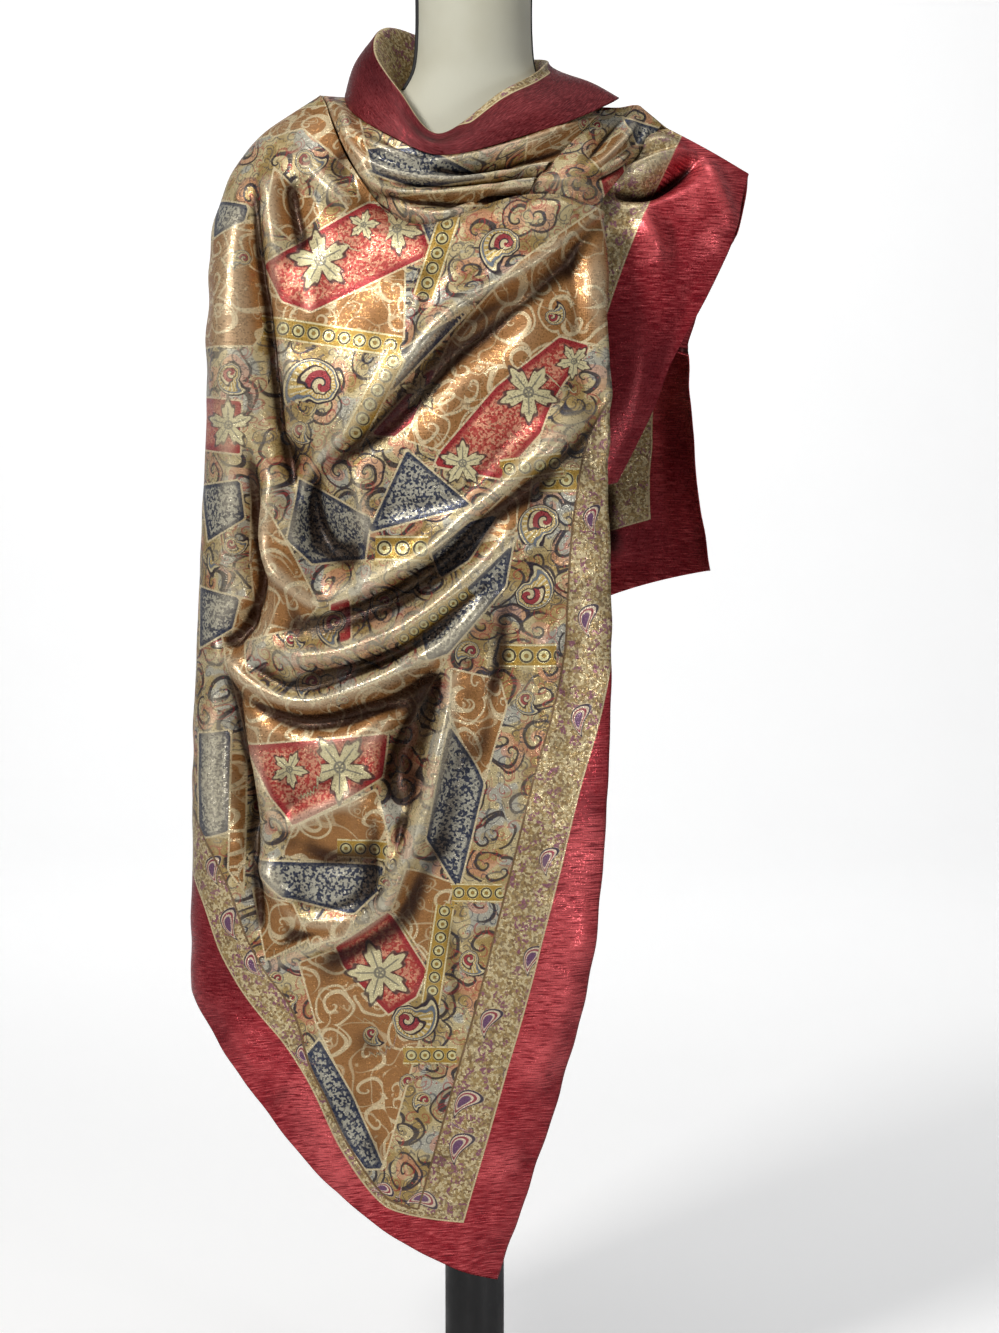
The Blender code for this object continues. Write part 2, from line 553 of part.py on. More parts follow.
def build_torso(made):
    bm = bmesh.new()
    turns = np.linspace(0.0, 2.0 * math.pi, TORSO_SIDES + 1)[:-1]
    sections = []
    for z, half, front, back in torso_rings():
        deep = np.where(np.sin(turns) > 0, back, front)
        sections.append(np.stack([half * np.cos(turns), deep * np.sin(turns), np.full_like(turns, z)], axis=1))
    rings = skin(bm, sections, closed=True)
    bm.faces.new(rings[0])
    bm.faces.new(rings[-1])
    return finish(bm, "form_torso", made)


def turned(name, made, profile, sides=32, raised=0.0):
    """A solid turned about the pole's axis from (radius, height) points, both ends closed."""
    bm = bmesh.new()
    turns = np.linspace(0.0, 2.0 * math.pi, sides + 1)[:-1]
    rings = [[(r * math.cos(a), r * math.sin(a), z) for a in turns] for r, z in profile]
    made_rings = skin(bm, rings, closed=True)
    bm.faces.new(made_rings[0])
    bm.faces.new(made_rings[-1])
    return finish(bm, name, made, raised)


def build_form(cream, black):
    build_torso(cream)
    low = NECK_TOP + SEAM
    cap = [(NECK_RADIUS, low), (NECK_RADIUS, low + 0.006), (NECK_RADIUS * 0.85, low + 0.011)]
    turned("neck_cap", black, cap + [(NECK_RADIUS * 0.4, low + CAP_HEIGHT)], raised=DATUM)
    pole_top = TORSO_ROWS[0].z + DATUM - SEAM
    turned("form_pole", black, [(POLE_RADIUS, BASE_HEIGHT + SEAM), (POLE_RADIUS, pole_top)])
    edge = BASE_RADIUS - 0.006
    base = [(BASE_RADIUS, 0.0), (BASE_RADIUS, 0.012), (edge, 0.018), (BASE_RADIUS * 0.4, BASE_HEIGHT)]
    turned("form_base", black, base, sides=40)


def main():
    patterned = material("patterned_cloth", PATTERNED, 0.42, 0.25)
    border = material("burgundy_border", BURGUNDY, 0.45, 0.2)
    build_front(patterned)
    build_back(patterned)
    build_cowl(patterned)
    build_gather(patterned)
    build_band(border)
    build_collar(border)
    build_form(material("form_cover", CREAM, 0.7), material("black_paint", BLACK, 0.4))


main()
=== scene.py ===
import math
from collections import namedtuple

import bmesh
import bpy
import numpy as np
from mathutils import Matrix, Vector


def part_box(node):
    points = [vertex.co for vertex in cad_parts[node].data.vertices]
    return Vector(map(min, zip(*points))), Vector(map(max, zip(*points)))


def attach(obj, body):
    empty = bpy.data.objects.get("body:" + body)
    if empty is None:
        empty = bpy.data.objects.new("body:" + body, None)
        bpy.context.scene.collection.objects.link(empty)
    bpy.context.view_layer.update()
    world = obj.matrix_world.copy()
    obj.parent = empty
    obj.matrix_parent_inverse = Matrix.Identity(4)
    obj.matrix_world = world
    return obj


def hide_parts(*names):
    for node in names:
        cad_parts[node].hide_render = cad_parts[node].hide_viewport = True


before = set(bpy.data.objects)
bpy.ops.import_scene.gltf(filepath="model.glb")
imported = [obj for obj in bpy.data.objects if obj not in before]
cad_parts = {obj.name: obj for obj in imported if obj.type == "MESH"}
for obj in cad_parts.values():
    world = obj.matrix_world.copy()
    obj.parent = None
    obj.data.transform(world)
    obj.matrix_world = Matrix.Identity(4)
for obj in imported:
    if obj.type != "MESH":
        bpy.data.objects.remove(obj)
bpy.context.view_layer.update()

# Metres, +Z up, the shawl's front faces -Y. Heights in the tables are above the shawl's datum.
datum = 0.04

cloth = {
    "thick": 0.0012,
    "hug": 0.0022,  # least room between the cloth and the form
    "sideY": -0.02,  # depth of the left side, where the front turns into the back
    # valleys and ridges, for the painted shade and sheen, are found against the mean over a crease's width,
    # and over a whole fold's
    "creaseReach": 0.010,
    "creaseDeep": 0.0028,
    "foldReach": 0.058,
    "foldDeep": 0.0095,
}


# Curves and surfaces

def unit(v):
    return v / np.maximum(np.linalg.norm(v, axis=-1, keepdims=True), 1e-9)


def smooth(x):
    x = np.clip(x, 0.0, 1.0)
    return x * x * (3.0 - 2.0 * x)


def along(rows, where):
    # the rows' columns on a smooth curve through them, where from 0 at the first row to 1 at the last
    rows = np.asarray(rows, float)
    place = np.clip(np.asarray(where, float), 0.0, 1.0) * (len(rows) - 1)
    i = np.minimum(place.astype(int), len(rows) - 2)
    f = (place - i)[..., None]
    before, after = rows[np.maximum(i - 1, 0)], rows[np.minimum(i + 2, len(rows) - 1)]
    a, b = rows[i], rows[i + 1]
    slopeA, slopeB = (b - before) / 2, (after - a) / 2
    return (
        (2 * f**3 - 3 * f**2 + 1) * a
        + (f**3 - 2 * f**2 + f) * slopeA
        + (3 * f**2 - 2 * f**3) * b
        + (f**3 - f**2) * slopeB
    )


def columnsOf(rows, heights):
    # a table's columns at the heights, ready to be crossed with the shares of a row
    return np.moveaxis(along(rows, heights)[:, None, :], -1, 0)


def evened(points, count):
    # the same line with its points at even distances
    points = np.asarray(points, float)
    far = np.concatenate([[0.0], np.cumsum(np.linalg.norm(np.diff(points, axis=0), axis=1))])
    at = np.linspace(0.0, far[-1], count)
    return np.stack([np.interp(at, far, points[:, k]) for k in range(points.shape[1])], axis=1)


def bySide(x, z, walk, steps=120):
    # signed distance to a walk, positive on its left, the distance past its ends, and the share walked
    line = evened(along(walk, np.linspace(0.0, 1.0, 200)), steps)
    run = unit(np.gradient(line, axis=0))
    gapX, gapZ = x[..., None] - line[:, 0], z[..., None] - line[:, 1]
    nearest = np.argmin(gapX**2 + gapZ**2, axis=-1)
    gapX = np.take_along_axis(gapX, nearest[..., None], -1)[..., 0]
    gapZ = np.take_along_axis(gapZ, nearest[..., None], -1)[..., 0]
    run = run[nearest]
    side = run[..., 0] * gapZ - run[..., 1] * gapX
    past = run[..., 0] * gapX + run[..., 1] * gapZ
    return side, past, nearest / (steps - 1.0)


# A fold follows its walk, points in x and z; height is outwards, left and right are its widths on those
# sides of the walk
Fold = namedtuple("Fold", "walk height left right")
foldShape = {
    "reach": 3.0,  # in widths, where a fold has died out
    "crest": 0.2,  # roundness of its crest, in widths
    "steep": 1.5,
    "endFade": 0.6,
}


def foldHeight(mid, folds):
    x, z = mid[..., 0], mid[..., 2]
    lift = np.zeros_like(x)
    for fold in folds:
        reach = foldShape["reach"] * max(fold.left, fold.right)
        xs, zs = zip(*fold.walk)
        near = (x > min(xs) - reach) & (x < max(xs) + reach) & (z > min(zs) - reach) & (z < max(zs) + reach)
        if not near.any():
            continue
        side, past, share = bySide(x[near], z[near], fold.walk)
        width = np.where(side > 0, fold.left, fold.right)
        away = np.hypot(side / width, past / max(fold.left, fold.right))
        fade = np.sin(math.pi * np.clip(share, 0.015, 0.985)) ** foldShape["endFade"]
        slope = np.sqrt(away**2 + foldShape["crest"] ** 2) - foldShape["crest"]
        lift[near] += fold.height * fade * np.exp(-(np.maximum(slope, 0.0) ** foldShape["steep"]))
    return lift


def wrinkles(mid, wrinkle):
    # soft unevenness from a few crossed waves
    x, z = mid[..., 0], mid[..., 2]
    draw = np.random.default_rng(wrinkle["seed"])
    total = np.zeros_like(x)
    for _ in range(10):
        turn = draw.uniform(0.0, math.pi)
        wave = wrinkle["long"] * draw.uniform(0.6, 1.7)
        bend = draw.uniform(0.0, 6.28)
        cross = np.sin((x * math.sin(turn) - z * math.cos(turn)) * 2.1 / wave + bend)
        total += np.sin((x * math.cos(turn) + z * math.sin(turn)) * 6.28 / wave + bend + 1.6 * cross)
    return wrinkle["high"] * total / 3.2


def normalsOf(mid, towards):
    across, up = np.gradient(mid, axis=1), np.gradient(mid, axis=0)
    normal = unit(np.cross(across, up))
    flip = np.sign((normal * towards).sum(-1, keepdims=True))
    return normal * np.where(flip == 0, 1.0, flip)


def softened(grid, rounds=1):
    for _ in range(rounds):
        padded = np.pad(grid, ((1, 1), (1, 1)) + ((0, 0),) * (grid.ndim - 2), mode="edge")
        grid = (
            4 * grid + padded[:-2, 1:-1] + padded[2:, 1:-1] + padded[1:-1, :-2] + padded[1:-1, 2:]
        ) / 8.0
    return grid


def blurred(grid, radius):
    # a running mean over radius cells to either side, in both directions
    for axis in (0, 1):
        pad = [(0, 0)] * grid.ndim
        pad[axis] = (radius + 1, radius)
        total = np.cumsum(np.pad(grid, pad, mode="edge"), axis=axis)
        wide = 2 * radius + 1
        high = np.take(total, range(wide, total.shape[axis]), axis=axis)
        grid = (high - np.take(total, range(total.shape[axis] - wide), axis=axis)) / wide
    return grid


# The form

formRow = namedtuple("formRow", "z half front back")
form = {
    "neckTop": 1.56,
    "sides": 96,
    "rings": 150,
    "rows": [
        formRow(0.720, 0.136, 0.095, 0.110),
        formRow(0.820, 0.144, 0.106, 0.112),
        formRow(0.910, 0.140, 0.100, 0.100),
        formRow(1.010, 0.118, 0.090, 0.078),
        formRow(1.110, 0.134, 0.112, 0.085),
        formRow(1.200, 0.156, 0.132, 0.092),
        formRow(1.290, 0.172, 0.108, 0.092),
        formRow(1.350, 0.178, 0.086, 0.084),
        formRow(1.385, 0.162, 0.074, 0.076),
        formRow(1.410, 0.124, 0.068, 0.070),
        formRow(1.432, 0.088, 0.065, 0.066),
        formRow(1.460, 0.068, 0.063, 0.063),
        formRow(1.500, 0.063, 0.063, 0.063),
        formRow(1.560, 0.063, 0.063, 0.063),
    ],
}


def formRings(count):
    heights = [row.z for row in form["rows"]]
    at = np.linspace(heights[0], heights[-1], count)
    place = np.interp(at, heights, np.linspace(0.0, 1.0, len(heights)))
    rings = along(form["rows"], place)
    rings[:, 0] = at
    return rings


def formReach(points):
    # how far the form's surface is from its axis, in each point's direction and at its height
    rings = formRings(240)
    half, ahead, behind = (np.interp(points[..., 2], rings[:, 0], rings[:, k]) for k in (1, 2, 3))
    far = np.maximum(np.hypot(points[..., 0], points[..., 1]), 1e-6)
    deep = np.where(points[..., 1] > 0, behind, ahead)
    return 1.0 / np.hypot(points[..., 0] / far / half, points[..., 1] / far / deep)


def offTheForm(points, gap):
    # moves outwards what lies in the form or too near it
    far = np.maximum(np.hypot(points[..., 0], points[..., 1]), 1e-6)
    step = np.array([0.0, 0.0, 0.002])
    lean = (formReach(points - step) - formReach(points + step)) / (2.0 * step[2])
    short = np.maximum(formReach(points) + gap * np.hypot(1.0, lean) - far, 0.0)
    moved = points.copy()
    moved[..., :2] *= (1.0 + short / far)[..., None]
    return moved


# Pieces and sheets of cloth

def meshOf(name, bm):
    mesh = bpy.data.meshes.new(name)
    bm.to_mesh(mesh)
    bm.free()
    return mesh


def pieceOf(mesh, material):
    mesh.materials.append(material)
    mesh.shade_smooth()
    obj = bpy.data.objects.new(mesh.name, mesh)
    bpy.context.scene.collection.objects.link(obj)
    return obj


def gridOn(points):
    # a grid laid on the points, with the row and the column of each of its corners
    rows, columns = points.shape[:2]
    bm = bmesh.new()
    bmesh.ops.create_grid(bm, x_segments=columns - 1, y_segments=rows - 1, size=0.5)
    row = np.array([round((vert.co.y + 0.5) * (rows - 1)) for vert in bm.verts])
    column = np.array([round((vert.co.x + 0.5) * (columns - 1)) for vert in bm.verts])
    placed = points[row, column] + np.array([0.0, 0.0, datum])
    for vert, spot in zip(bm.verts, placed.tolist()):
        vert.co = spot
    return bm, row, column


def clothLengths(points):
    # lengths along the cloth from its first column, and from its first row
    run = np.linalg.norm(np.diff(points, axis=1, prepend=points[:, :1]), axis=-1).cumsum(axis=1)
    rise = np.linalg.norm(np.diff(points, axis=0, prepend=points[:1]), axis=-1).cumsum(axis=0)
    return run, rise


def uprightLengths(points, middleX):
    # lengths round an upright sheet from its middle, and straight up
    calm = blurred(points, 12)
    step = np.diff(calm[..., :2], axis=1, prepend=calm[:, :1, :2])
    run = np.hypot(step[..., 0], step[..., 1]).cumsum(axis=1)
    middle = np.abs(calm[..., 0] - middleX).argmin(axis=1)
    return run - blurred(np.take_along_axis(run, middle[:, None], 1), 3), calm[..., 2]


def hollowOf(points, run, rise, outward):
    # how deep a point lies under the mean of the cloth round it, negative on ridges
    spacing = (run[:, -1].mean() / points.shape[1] + rise[-1].mean() / points.shape[0]) / 2.0
    towards = normalsOf(points, np.array(outward))
    hollow = 0.0
    for reach, deep in (("creaseReach", "creaseDeep"), ("foldReach", "foldDeep")):
        mean = blurred(points, max(2, round(cloth[reach] / spacing / 2.0)))
        hollow = hollow + ((mean - points) * towards).sum(-1) / cloth[deep]
    return hollow


def sheetPiece(name, points, outward, material, paint, ring=False, middleX=None):
    # a sheet on the points, with its lengths, its hollows and the painted fields as attributes
    bm, row, column = gridOn(points)
    bm.normal_update()
    sample = list(bm.faces)[:: max(1, len(bm.faces) // 400)]
    if sum(face.normal.dot(Vector(outward)) for face in sample) < 0:
        bmesh.ops.reverse_faces(bm, faces=bm.faces)
    mesh = meshOf(name, bm)
    run, rise = clothLengths(points)
    hollow = hollowOf(points, run, rise, outward)
    if middleX is not None:
        run, rise = uprightLengths(points, middleX)
    fields = {"clothRun": softened(run, 2), "clothRise": softened(rise, 2), "hollow": softened(hollow, 1)}
    fields.update(paint(points))
    for key, field in fields.items():
        value = field[row, column]
        if value.ndim == 1:
            mesh.attributes.new(key, "FLOAT", "POINT").data.foreach_set("value", value.astype(np.float32))
        else:
            flat = np.zeros((len(value), 3), np.float32)
            flat[:, : value.shape[1]] = value
            mesh.attributes.new(key, "FLOAT_VECTOR", "POINT").data.foreach_set("vector", flat.ravel())
    if ring:
        bm = bmesh.new()
        bm.from_mesh(mesh)
        bmesh.ops.remove_doubles(bm, verts=bm.verts, dist=1e-6)
        bm.to_mesh(mesh)
        bm.free()
    obj = pieceOf(mesh, material)
    wall = obj.modifiers.new("wall", "SOLIDIFY")
    wall.thickness = cloth["thick"]
    wall.offset = 0.0
    wall.use_even_offset = False
    print(name, len(mesh.polygons) * 4, "triangles")
    return obj


# The cloth's pattern: patches, borders and motifs as distances on the points, in the front view's x and z

patchKinds = ("caramel", "coral", "navy", "gold", "border")
Patch = namedtuple("Patch", "kind corners")
Motif = namedtuple("Motif", "place size turn")
Glint = namedtuple("Glint", "place size")
Chain = namedtuple("Chain", "start end spacing")
motifReach = 1.5  # in sizes, how far a motif's own place is laid on the cloth
chainReach = (0.9, 0.002)  # half a chain's width in spacings, and how far it runs past its ends


def insideOf(x, z, corners):
    # distance inside a convex patch, negative outside it
    corners = np.asarray(corners, float)
    nextOne = np.roll(corners, -1, axis=0)
    area = (corners[:, 0] * nextOne[:, 1] - nextOne[:, 0] * corners[:, 1]).sum()  # its sign is the turn
    inside = np.full(x.shape, 1.0)
    for a, b in zip(corners, nextOne):
        run = (b - a) / np.linalg.norm(b - a)
        side = run[0] * (z - a[1]) - run[1] * (x - a[0])
        inside = np.minimum(inside, side * np.sign(area))
    return inside


def layered(fields, kind, inside):
    # lays a patch over those before it; beige is the ground and has no field of its own
    for other in patchKinds:
        if other == kind:
            fields[other] = np.maximum(fields[other], inside)
        else:
            fields[other] = np.minimum(fields[other], -inside)


def motifPlaces(x, z, motifs):
    # the place inside the nearest motif, in its own size and turn; far away outside all of them
    places = np.full(x.shape + (2,), 9.0)
    for motif in motifs:
        gapX, gapZ = (x - motif.place[0]) / motif.size, (z - motif.place[1]) / motif.size
        turn = math.radians(motif.turn)
        u = gapX * math.cos(turn) + gapZ * math.sin(turn)
        v = -gapX * math.sin(turn) + gapZ * math.cos(turn)
        near = np.hypot(u, v) < motifReach
        places[near, 0], places[near, 1] = u[near], v[near]
    return places


def chainPlaces(x, z, chains):
    places = np.full(x.shape + (2,), 9.0)
    for chain in chains:
        a, b = np.array(chain.start), np.array(chain.end)
        far = np.linalg.norm(b - a)
        run = (b - a) / far
        u = run[0] * (x - a[0]) + run[1] * (z - a[1])
        v = -run[1] * (x - a[0]) + run[0] * (z - a[1])
        near = (np.abs(v) < chainReach[0] * chain.spacing) & (u > -chainReach[1]) & (u < far + chainReach[1])
        places[near, 0], places[near, 1] = u[near] / chain.spacing, v[near] / chain.spacing
    return places


def glintField(x, z, glints):
    # 1 in the middle of a glint, fading outwards
    lit = np.zeros_like(x)
    for glint in glints:
        far = np.hypot(x - glint.place[0], z - glint.place[1]) / glint.size
        lit = np.maximum(lit, np.exp(-(far**2)))
    return lit


def patchFields(x, z, patches=(), glints=()):
    fields = {kind: np.full(x.shape, -1.0) for kind in patchKinds}
    for patch in patches:
        layered(fields, patch.kind, insideOf(x, z, patch.corners))
    fields["glint"] = glintField(x, z, glints)
    return fields


def withMotifs(fields, x, z, flowers=(), scrolls=(), paisleys=(), chains=()):
    # the fields, and with them the place of each motif's drawing on the cloth
    fields["flowerPlace"] = motifPlaces(x, z, flowers)
    fields["scrollPlace"] = motifPlaces(x, z, scrolls)
    fields["paisleyPlace"] = motifPlaces(x, z, paisleys)
    fields["chainPlace"] = chainPlaces(x, z, chains)
    return fields


# The front of the shawl

frontRow = namedtuple("frontRow", "rightX rightZ leftX leftZ sag skew frontY")
front = {
    "across": 165,
    "up": 300,
    "rowWide": 0.43,  # a typical row's width and depth
    "rowDeep": 0.15,
    "square": 3.0,  # power of the curve on which a row turns the left side
    "edgeCurl": 0.026,
    "curlShare": 0.2,
    "topRoll": 0.014,
    "topFrom": 0.94,  # near the top the cloth rolls in under the cowl
    "topOver": 0.06,
    "sideFrom": 0.90,  # folds fade out over these shares of a row, towards the left side
    "sideOver": 0.09,
    "wrinkle": {"long": 0.075, "high": 0.0012, "seed": 3},
    "columnWide": 0.098,  # plain beige beside the border of the right edge
    "goldWide": 0.050,  # gold speckle inside the border, narrower on the left and low down
    "goldLeft": 0.008,
    "goldLeftMore": 0.026,
    "goldLeftFrom": 0.38,  # the height from which it widens, and over how much
    "goldLeftOver": 0.10,
    "rows": [
        frontRow(0.025, 0.156, -0.311, 0.466, 0.056, 1.0, -0.134),
        frontRow(0.066, 0.280, -0.310, 0.560, 0.058, 1.0, -0.142),
        frontRow(0.103, 0.402, -0.308, 0.648, 0.056, 1.0, -0.150),
        frontRow(0.127, 0.520, -0.306, 0.733, 0.053, 1.0, -0.160),
        frontRow(0.139, 0.640, -0.303, 0.815, 0.050, 1.0, -0.167),
        frontRow(0.144, 0.760, -0.299, 0.895, 0.045, 1.0, -0.171),
        frontRow(0.145, 0.880, -0.295, 0.975, 0.040, 1.1, -0.174),
        frontRow(0.142, 0.990, -0.290, 1.055, 0.040, 1.1, -0.178),
        frontRow(0.137, 1.095, -0.286, 1.140, 0.045, 1.2, -0.180),
        frontRow(0.134, 1.185, -0.283, 1.230, 0.055, 1.3, -0.172),
        frontRow(0.138, 1.245, -0.276, 1.308, 0.070, 1.5, -0.160),
        frontRow(0.136, 1.285, -0.238, 1.380, 0.085, 1.7, -0.150),
        frontRow(0.132, 1.308, -0.165, 1.434, 0.098, 2.0, -0.140),
    ],
}

frontFolds = [
    # the long fold from the right shoulder, with its shadow below
    Fold([(0.138, 1.307), (0.057, 1.236), (-0.016, 1.189), (-0.074, 1.125), (-0.125, 1.071),
          (-0.181, 1.022)], 0.034, 0.0055, 0.050),
    Fold([(0.132, 1.274), (0.057, 1.207), (-0.013, 1.154), (-0.070, 1.092),
          (-0.127, 1.040)], -0.012, 0.016, 0.010),
    Fold([(0.119, 1.294), (0.049, 1.246), (-0.018, 1.207), (-0.075, 1.154)], -0.0060, 0.010, 0.010),
    # drapes off the left shoulder
    Fold([(-0.131, 1.371), (-0.114, 1.340), (-0.092, 1.310)], 0.0156, 0.012, 0.012),
    Fold([(-0.177, 1.361), (-0.155, 1.332), (-0.124, 1.305)], 0.0130, 0.010, 0.012),
    Fold([(-0.195, 1.340), (-0.188, 1.299), (-0.178, 1.259)], -0.0156, 0.012, 0.010),
    Fold([(-0.217, 1.345), (-0.211, 1.294), (-0.203, 1.246)], 0.0130, 0.013, 0.012),
    Fold([(-0.229, 1.335), (-0.226, 1.248), (-0.218, 1.176), (-0.209, 1.104),
          (-0.202, 1.022)], -0.026, 0.008, 0.008),
    Fold([(-0.248, 1.320), (-0.253, 1.207), (-0.250, 1.084), (-0.246, 0.980)], 0.0211, 0.020, 0.018),
    Fold([(-0.178, 1.246), (-0.170, 1.207), (-0.173, 1.156)], 0.0050, 0.016, 0.016),
    # the pressed crease down from the top
    Fold([(-0.024, 1.304), (-0.044, 1.238), (-0.065, 1.161), (-0.081, 1.108)], -0.0050, 0.006, 0.012),
    Fold([(0.102, 1.287), (0.108, 1.218), (0.106, 1.156)], -0.0040, 0.007, 0.010),
    Fold([(0.131, 1.297), (0.126, 1.218), (0.132, 1.125), (0.139, 1.032)], 0.0130, 0.016, 0.012),
    # the first swag and its hollow
    Fold([(-0.230, 0.970), (-0.211, 0.936), (-0.184, 0.909), (-0.158, 0.889)], 0.022, 0.008, 0.011),
    Fold([(-0.158, 0.889), (-0.101, 0.912), (-0.040, 0.951), (0.001, 0.989), (0.080, 1.053),
          (0.132, 1.104)], 0.030, 0.020, 0.0065),
    Fold([(-0.198, 1.073), (-0.184, 1.001), (-0.157, 0.951), (-0.111, 0.936)], -0.044, 0.026, 0.020),
    Fold([(-0.167, 1.040), (-0.184, 1.009), (-0.190, 0.975), (-0.183, 0.943)], 0.020, 0.005, 0.016),
    Fold([(-0.125, 1.032), (-0.111, 0.980), (-0.105, 0.938)], 0.0117, 0.012, 0.012),
    Fold([(-0.105, 0.972), (-0.055, 0.980), (-0.003, 0.996)], 0.0040, 0.008, 0.012),
    Fold([(-0.081, 0.938), (-0.024, 0.980), (0.049, 1.048)], -0.0130, 0.014, 0.016),
    Fold([(0.029, 1.024), (0.075, 1.063), (0.111, 1.104)], 0.0060, 0.012, 0.012),
    # the second swag
    Fold([(-0.220, 0.842), (-0.162, 0.837), (-0.101, 0.855), (-0.050, 0.884), (-0.002, 0.925),
          (0.049, 0.972)], 0.030, 0.011, 0.015),
    Fold([(-0.180, 0.871), (-0.118, 0.884), (-0.055, 0.912), (0.008, 0.959)], -0.0104, 0.014, 0.012),
    Fold([(-0.180, 0.821), (-0.107, 0.832), (-0.045, 0.863), (0.008, 0.907)], -0.0130, 0.008, 0.010),
    # the third swag over the hanging pocket
    Fold([(-0.281, 0.847), (-0.242, 0.813), (-0.201, 0.791), (-0.162, 0.790), (-0.114, 0.807),
          (-0.062, 0.833), (-0.022, 0.859), (0.033, 0.918)], 0.030, 0.008, 0.018),
    Fold([(-0.262, 0.803), (-0.181, 0.769), (-0.097, 0.786), (-0.034, 0.824)], -0.0286, 0.026, 0.012),
    Fold([(-0.081, 0.844), (-0.034, 0.867), (0.018, 0.907)], 0.0104, 0.010, 0.010),
    # the pocket's sides
    Fold([(-0.032, 0.826), (-0.061, 0.775), (-0.081, 0.727), (-0.087, 0.674)], -0.036, 0.024, 0.020),
    Fold([(-0.022, 0.834), (-0.030, 0.776), (-0.043, 0.711), (-0.056, 0.661), (-0.074, 0.615),
          (-0.089, 0.575)], 0.032, 0.013, 0.007),
    Fold([(-0.074, 0.615), (-0.088, 0.579), (-0.127, 0.545), (-0.174, 0.528),
          (-0.222, 0.504)], 0.016, 0.009, 0.004),
    Fold([(-0.094, 0.687), (-0.088, 0.634), (-0.093, 0.586), (-0.127, 0.558), (-0.182, 0.555),
          (-0.205, 0.581)], 0.0169, 0.010, 0.009),
    Fold([(-0.246, 0.745), (-0.221, 0.697), (-0.198, 0.659), (-0.160, 0.674),
          (-0.101, 0.699)], 0.0130, 0.010, 0.010),
    Fold([(-0.182, 0.639), (-0.145, 0.621), (-0.100, 0.634)], -0.008, 0.014, 0.014),
    Fold([(-0.245, 0.615), (-0.215, 0.600), (-0.197, 0.575)], 0.0156, 0.012, 0.012),
    Fold([(-0.134, 0.729), (-0.127, 0.687), (-0.119, 0.634)], 0.0060, 0.012, 0.012),
    Fold([(-0.244, 0.729), (-0.248, 0.676), (-0.241, 0.613), (-0.229, 0.528)], -0.0281, 0.012, 0.012),
    # the rolled left side
    Fold([(-0.237, 1.063), (-0.242, 0.970), (-0.236, 0.907), (-0.258, 0.855)], -0.0386, 0.014, 0.012),
    Fold([(-0.277, 0.847), (-0.258, 0.855), (-0.238, 0.884)], -0.0208, 0.012, 0.012),
    Fold([(-0.269, 0.834), (-0.258, 0.750), (-0.253, 0.674), (-0.262, 0.602)], -0.0281, 0.012, 0.012),
    Fold([(-0.277, 0.803), (-0.278, 0.708), (-0.274, 0.613)], 0.0104, 0.014, 0.012),
    Fold([(-0.210, 1.032), (-0.219, 0.990), (-0.228, 0.959)], 0.0104, 0.009, 0.009),
    # the right column
    Fold([(0.033, 0.918), (0.029, 0.839), (0.016, 0.776), (0.008, 0.708)], -0.007, 0.012, 0.012),
    Fold([(0.049, 0.897), (0.054, 0.792), (0.045, 0.687), (0.029, 0.581)], 0.0040, 0.012, 0.012),
    Fold([(-0.025, 0.575), (-0.021, 0.496), (-0.029, 0.438)], -0.005, 0.012, 0.012),
    Fold([(0.087, 0.938), (0.091, 0.813), (0.079, 0.687)], -0.0040, 0.012, 0.012),
    # lower creases and the lit border
    Fold([(0.037, 0.589), (0.060, 0.583), (0.092, 0.570)], 0.0022, 0.003, 0.004),
    Fold([(0.058, 0.504), (0.081, 0.501), (0.107, 0.492)], 0.0022, 0.003, 0.004),
    Fold([(-0.246, 0.408), (-0.231, 0.389)], 0.0022, 0.003, 0.003),
    Fold([(-0.231, 0.389), (-0.210, 0.406), (-0.189, 0.421)], 0.0022, 0.003, 0.003),
    Fold([(-0.183, 0.376), (-0.160, 0.335), (-0.131, 0.264)], 0.0130, 0.022, 0.022),
    Fold([(-0.275, 0.474), (-0.246, 0.421), (-0.217, 0.376)], 0.0070, 0.022, 0.020),
    Fold([(0.123, 0.581), (0.092, 0.464), (0.060, 0.356)], 0.0060, 0.018, 0.020),
    Fold([(-0.098, 0.464), (-0.120, 0.367), (-0.107, 0.281)], -0.0050, 0.025, 0.025),
]

# where the border begins, down the right edge and along the hem from the left
frontRight = [
    (0.236, 1.125), (0.174, 1.063), (0.155, 0.980), (0.149, 0.897), (0.146, 0.839), (0.133, 0.771),
    (0.112, 0.697), (0.092, 0.613), (0.076, 0.549), (0.055, 0.464), (0.034, 0.389), (0.013, 0.313),
    (-0.009, 0.235), (-0.035, 0.140),
]
frontLeft = [
    (-0.339, 0.655), (-0.308, 0.597), (-0.292, 0.565), (-0.272, 0.512), (-0.241, 0.464), (-0.204, 0.421),
    (-0.172, 0.372), (-0.141, 0.308), (-0.107, 0.256), (-0.076, 0.237), (-0.009, 0.227), (0.092, 0.216),
]

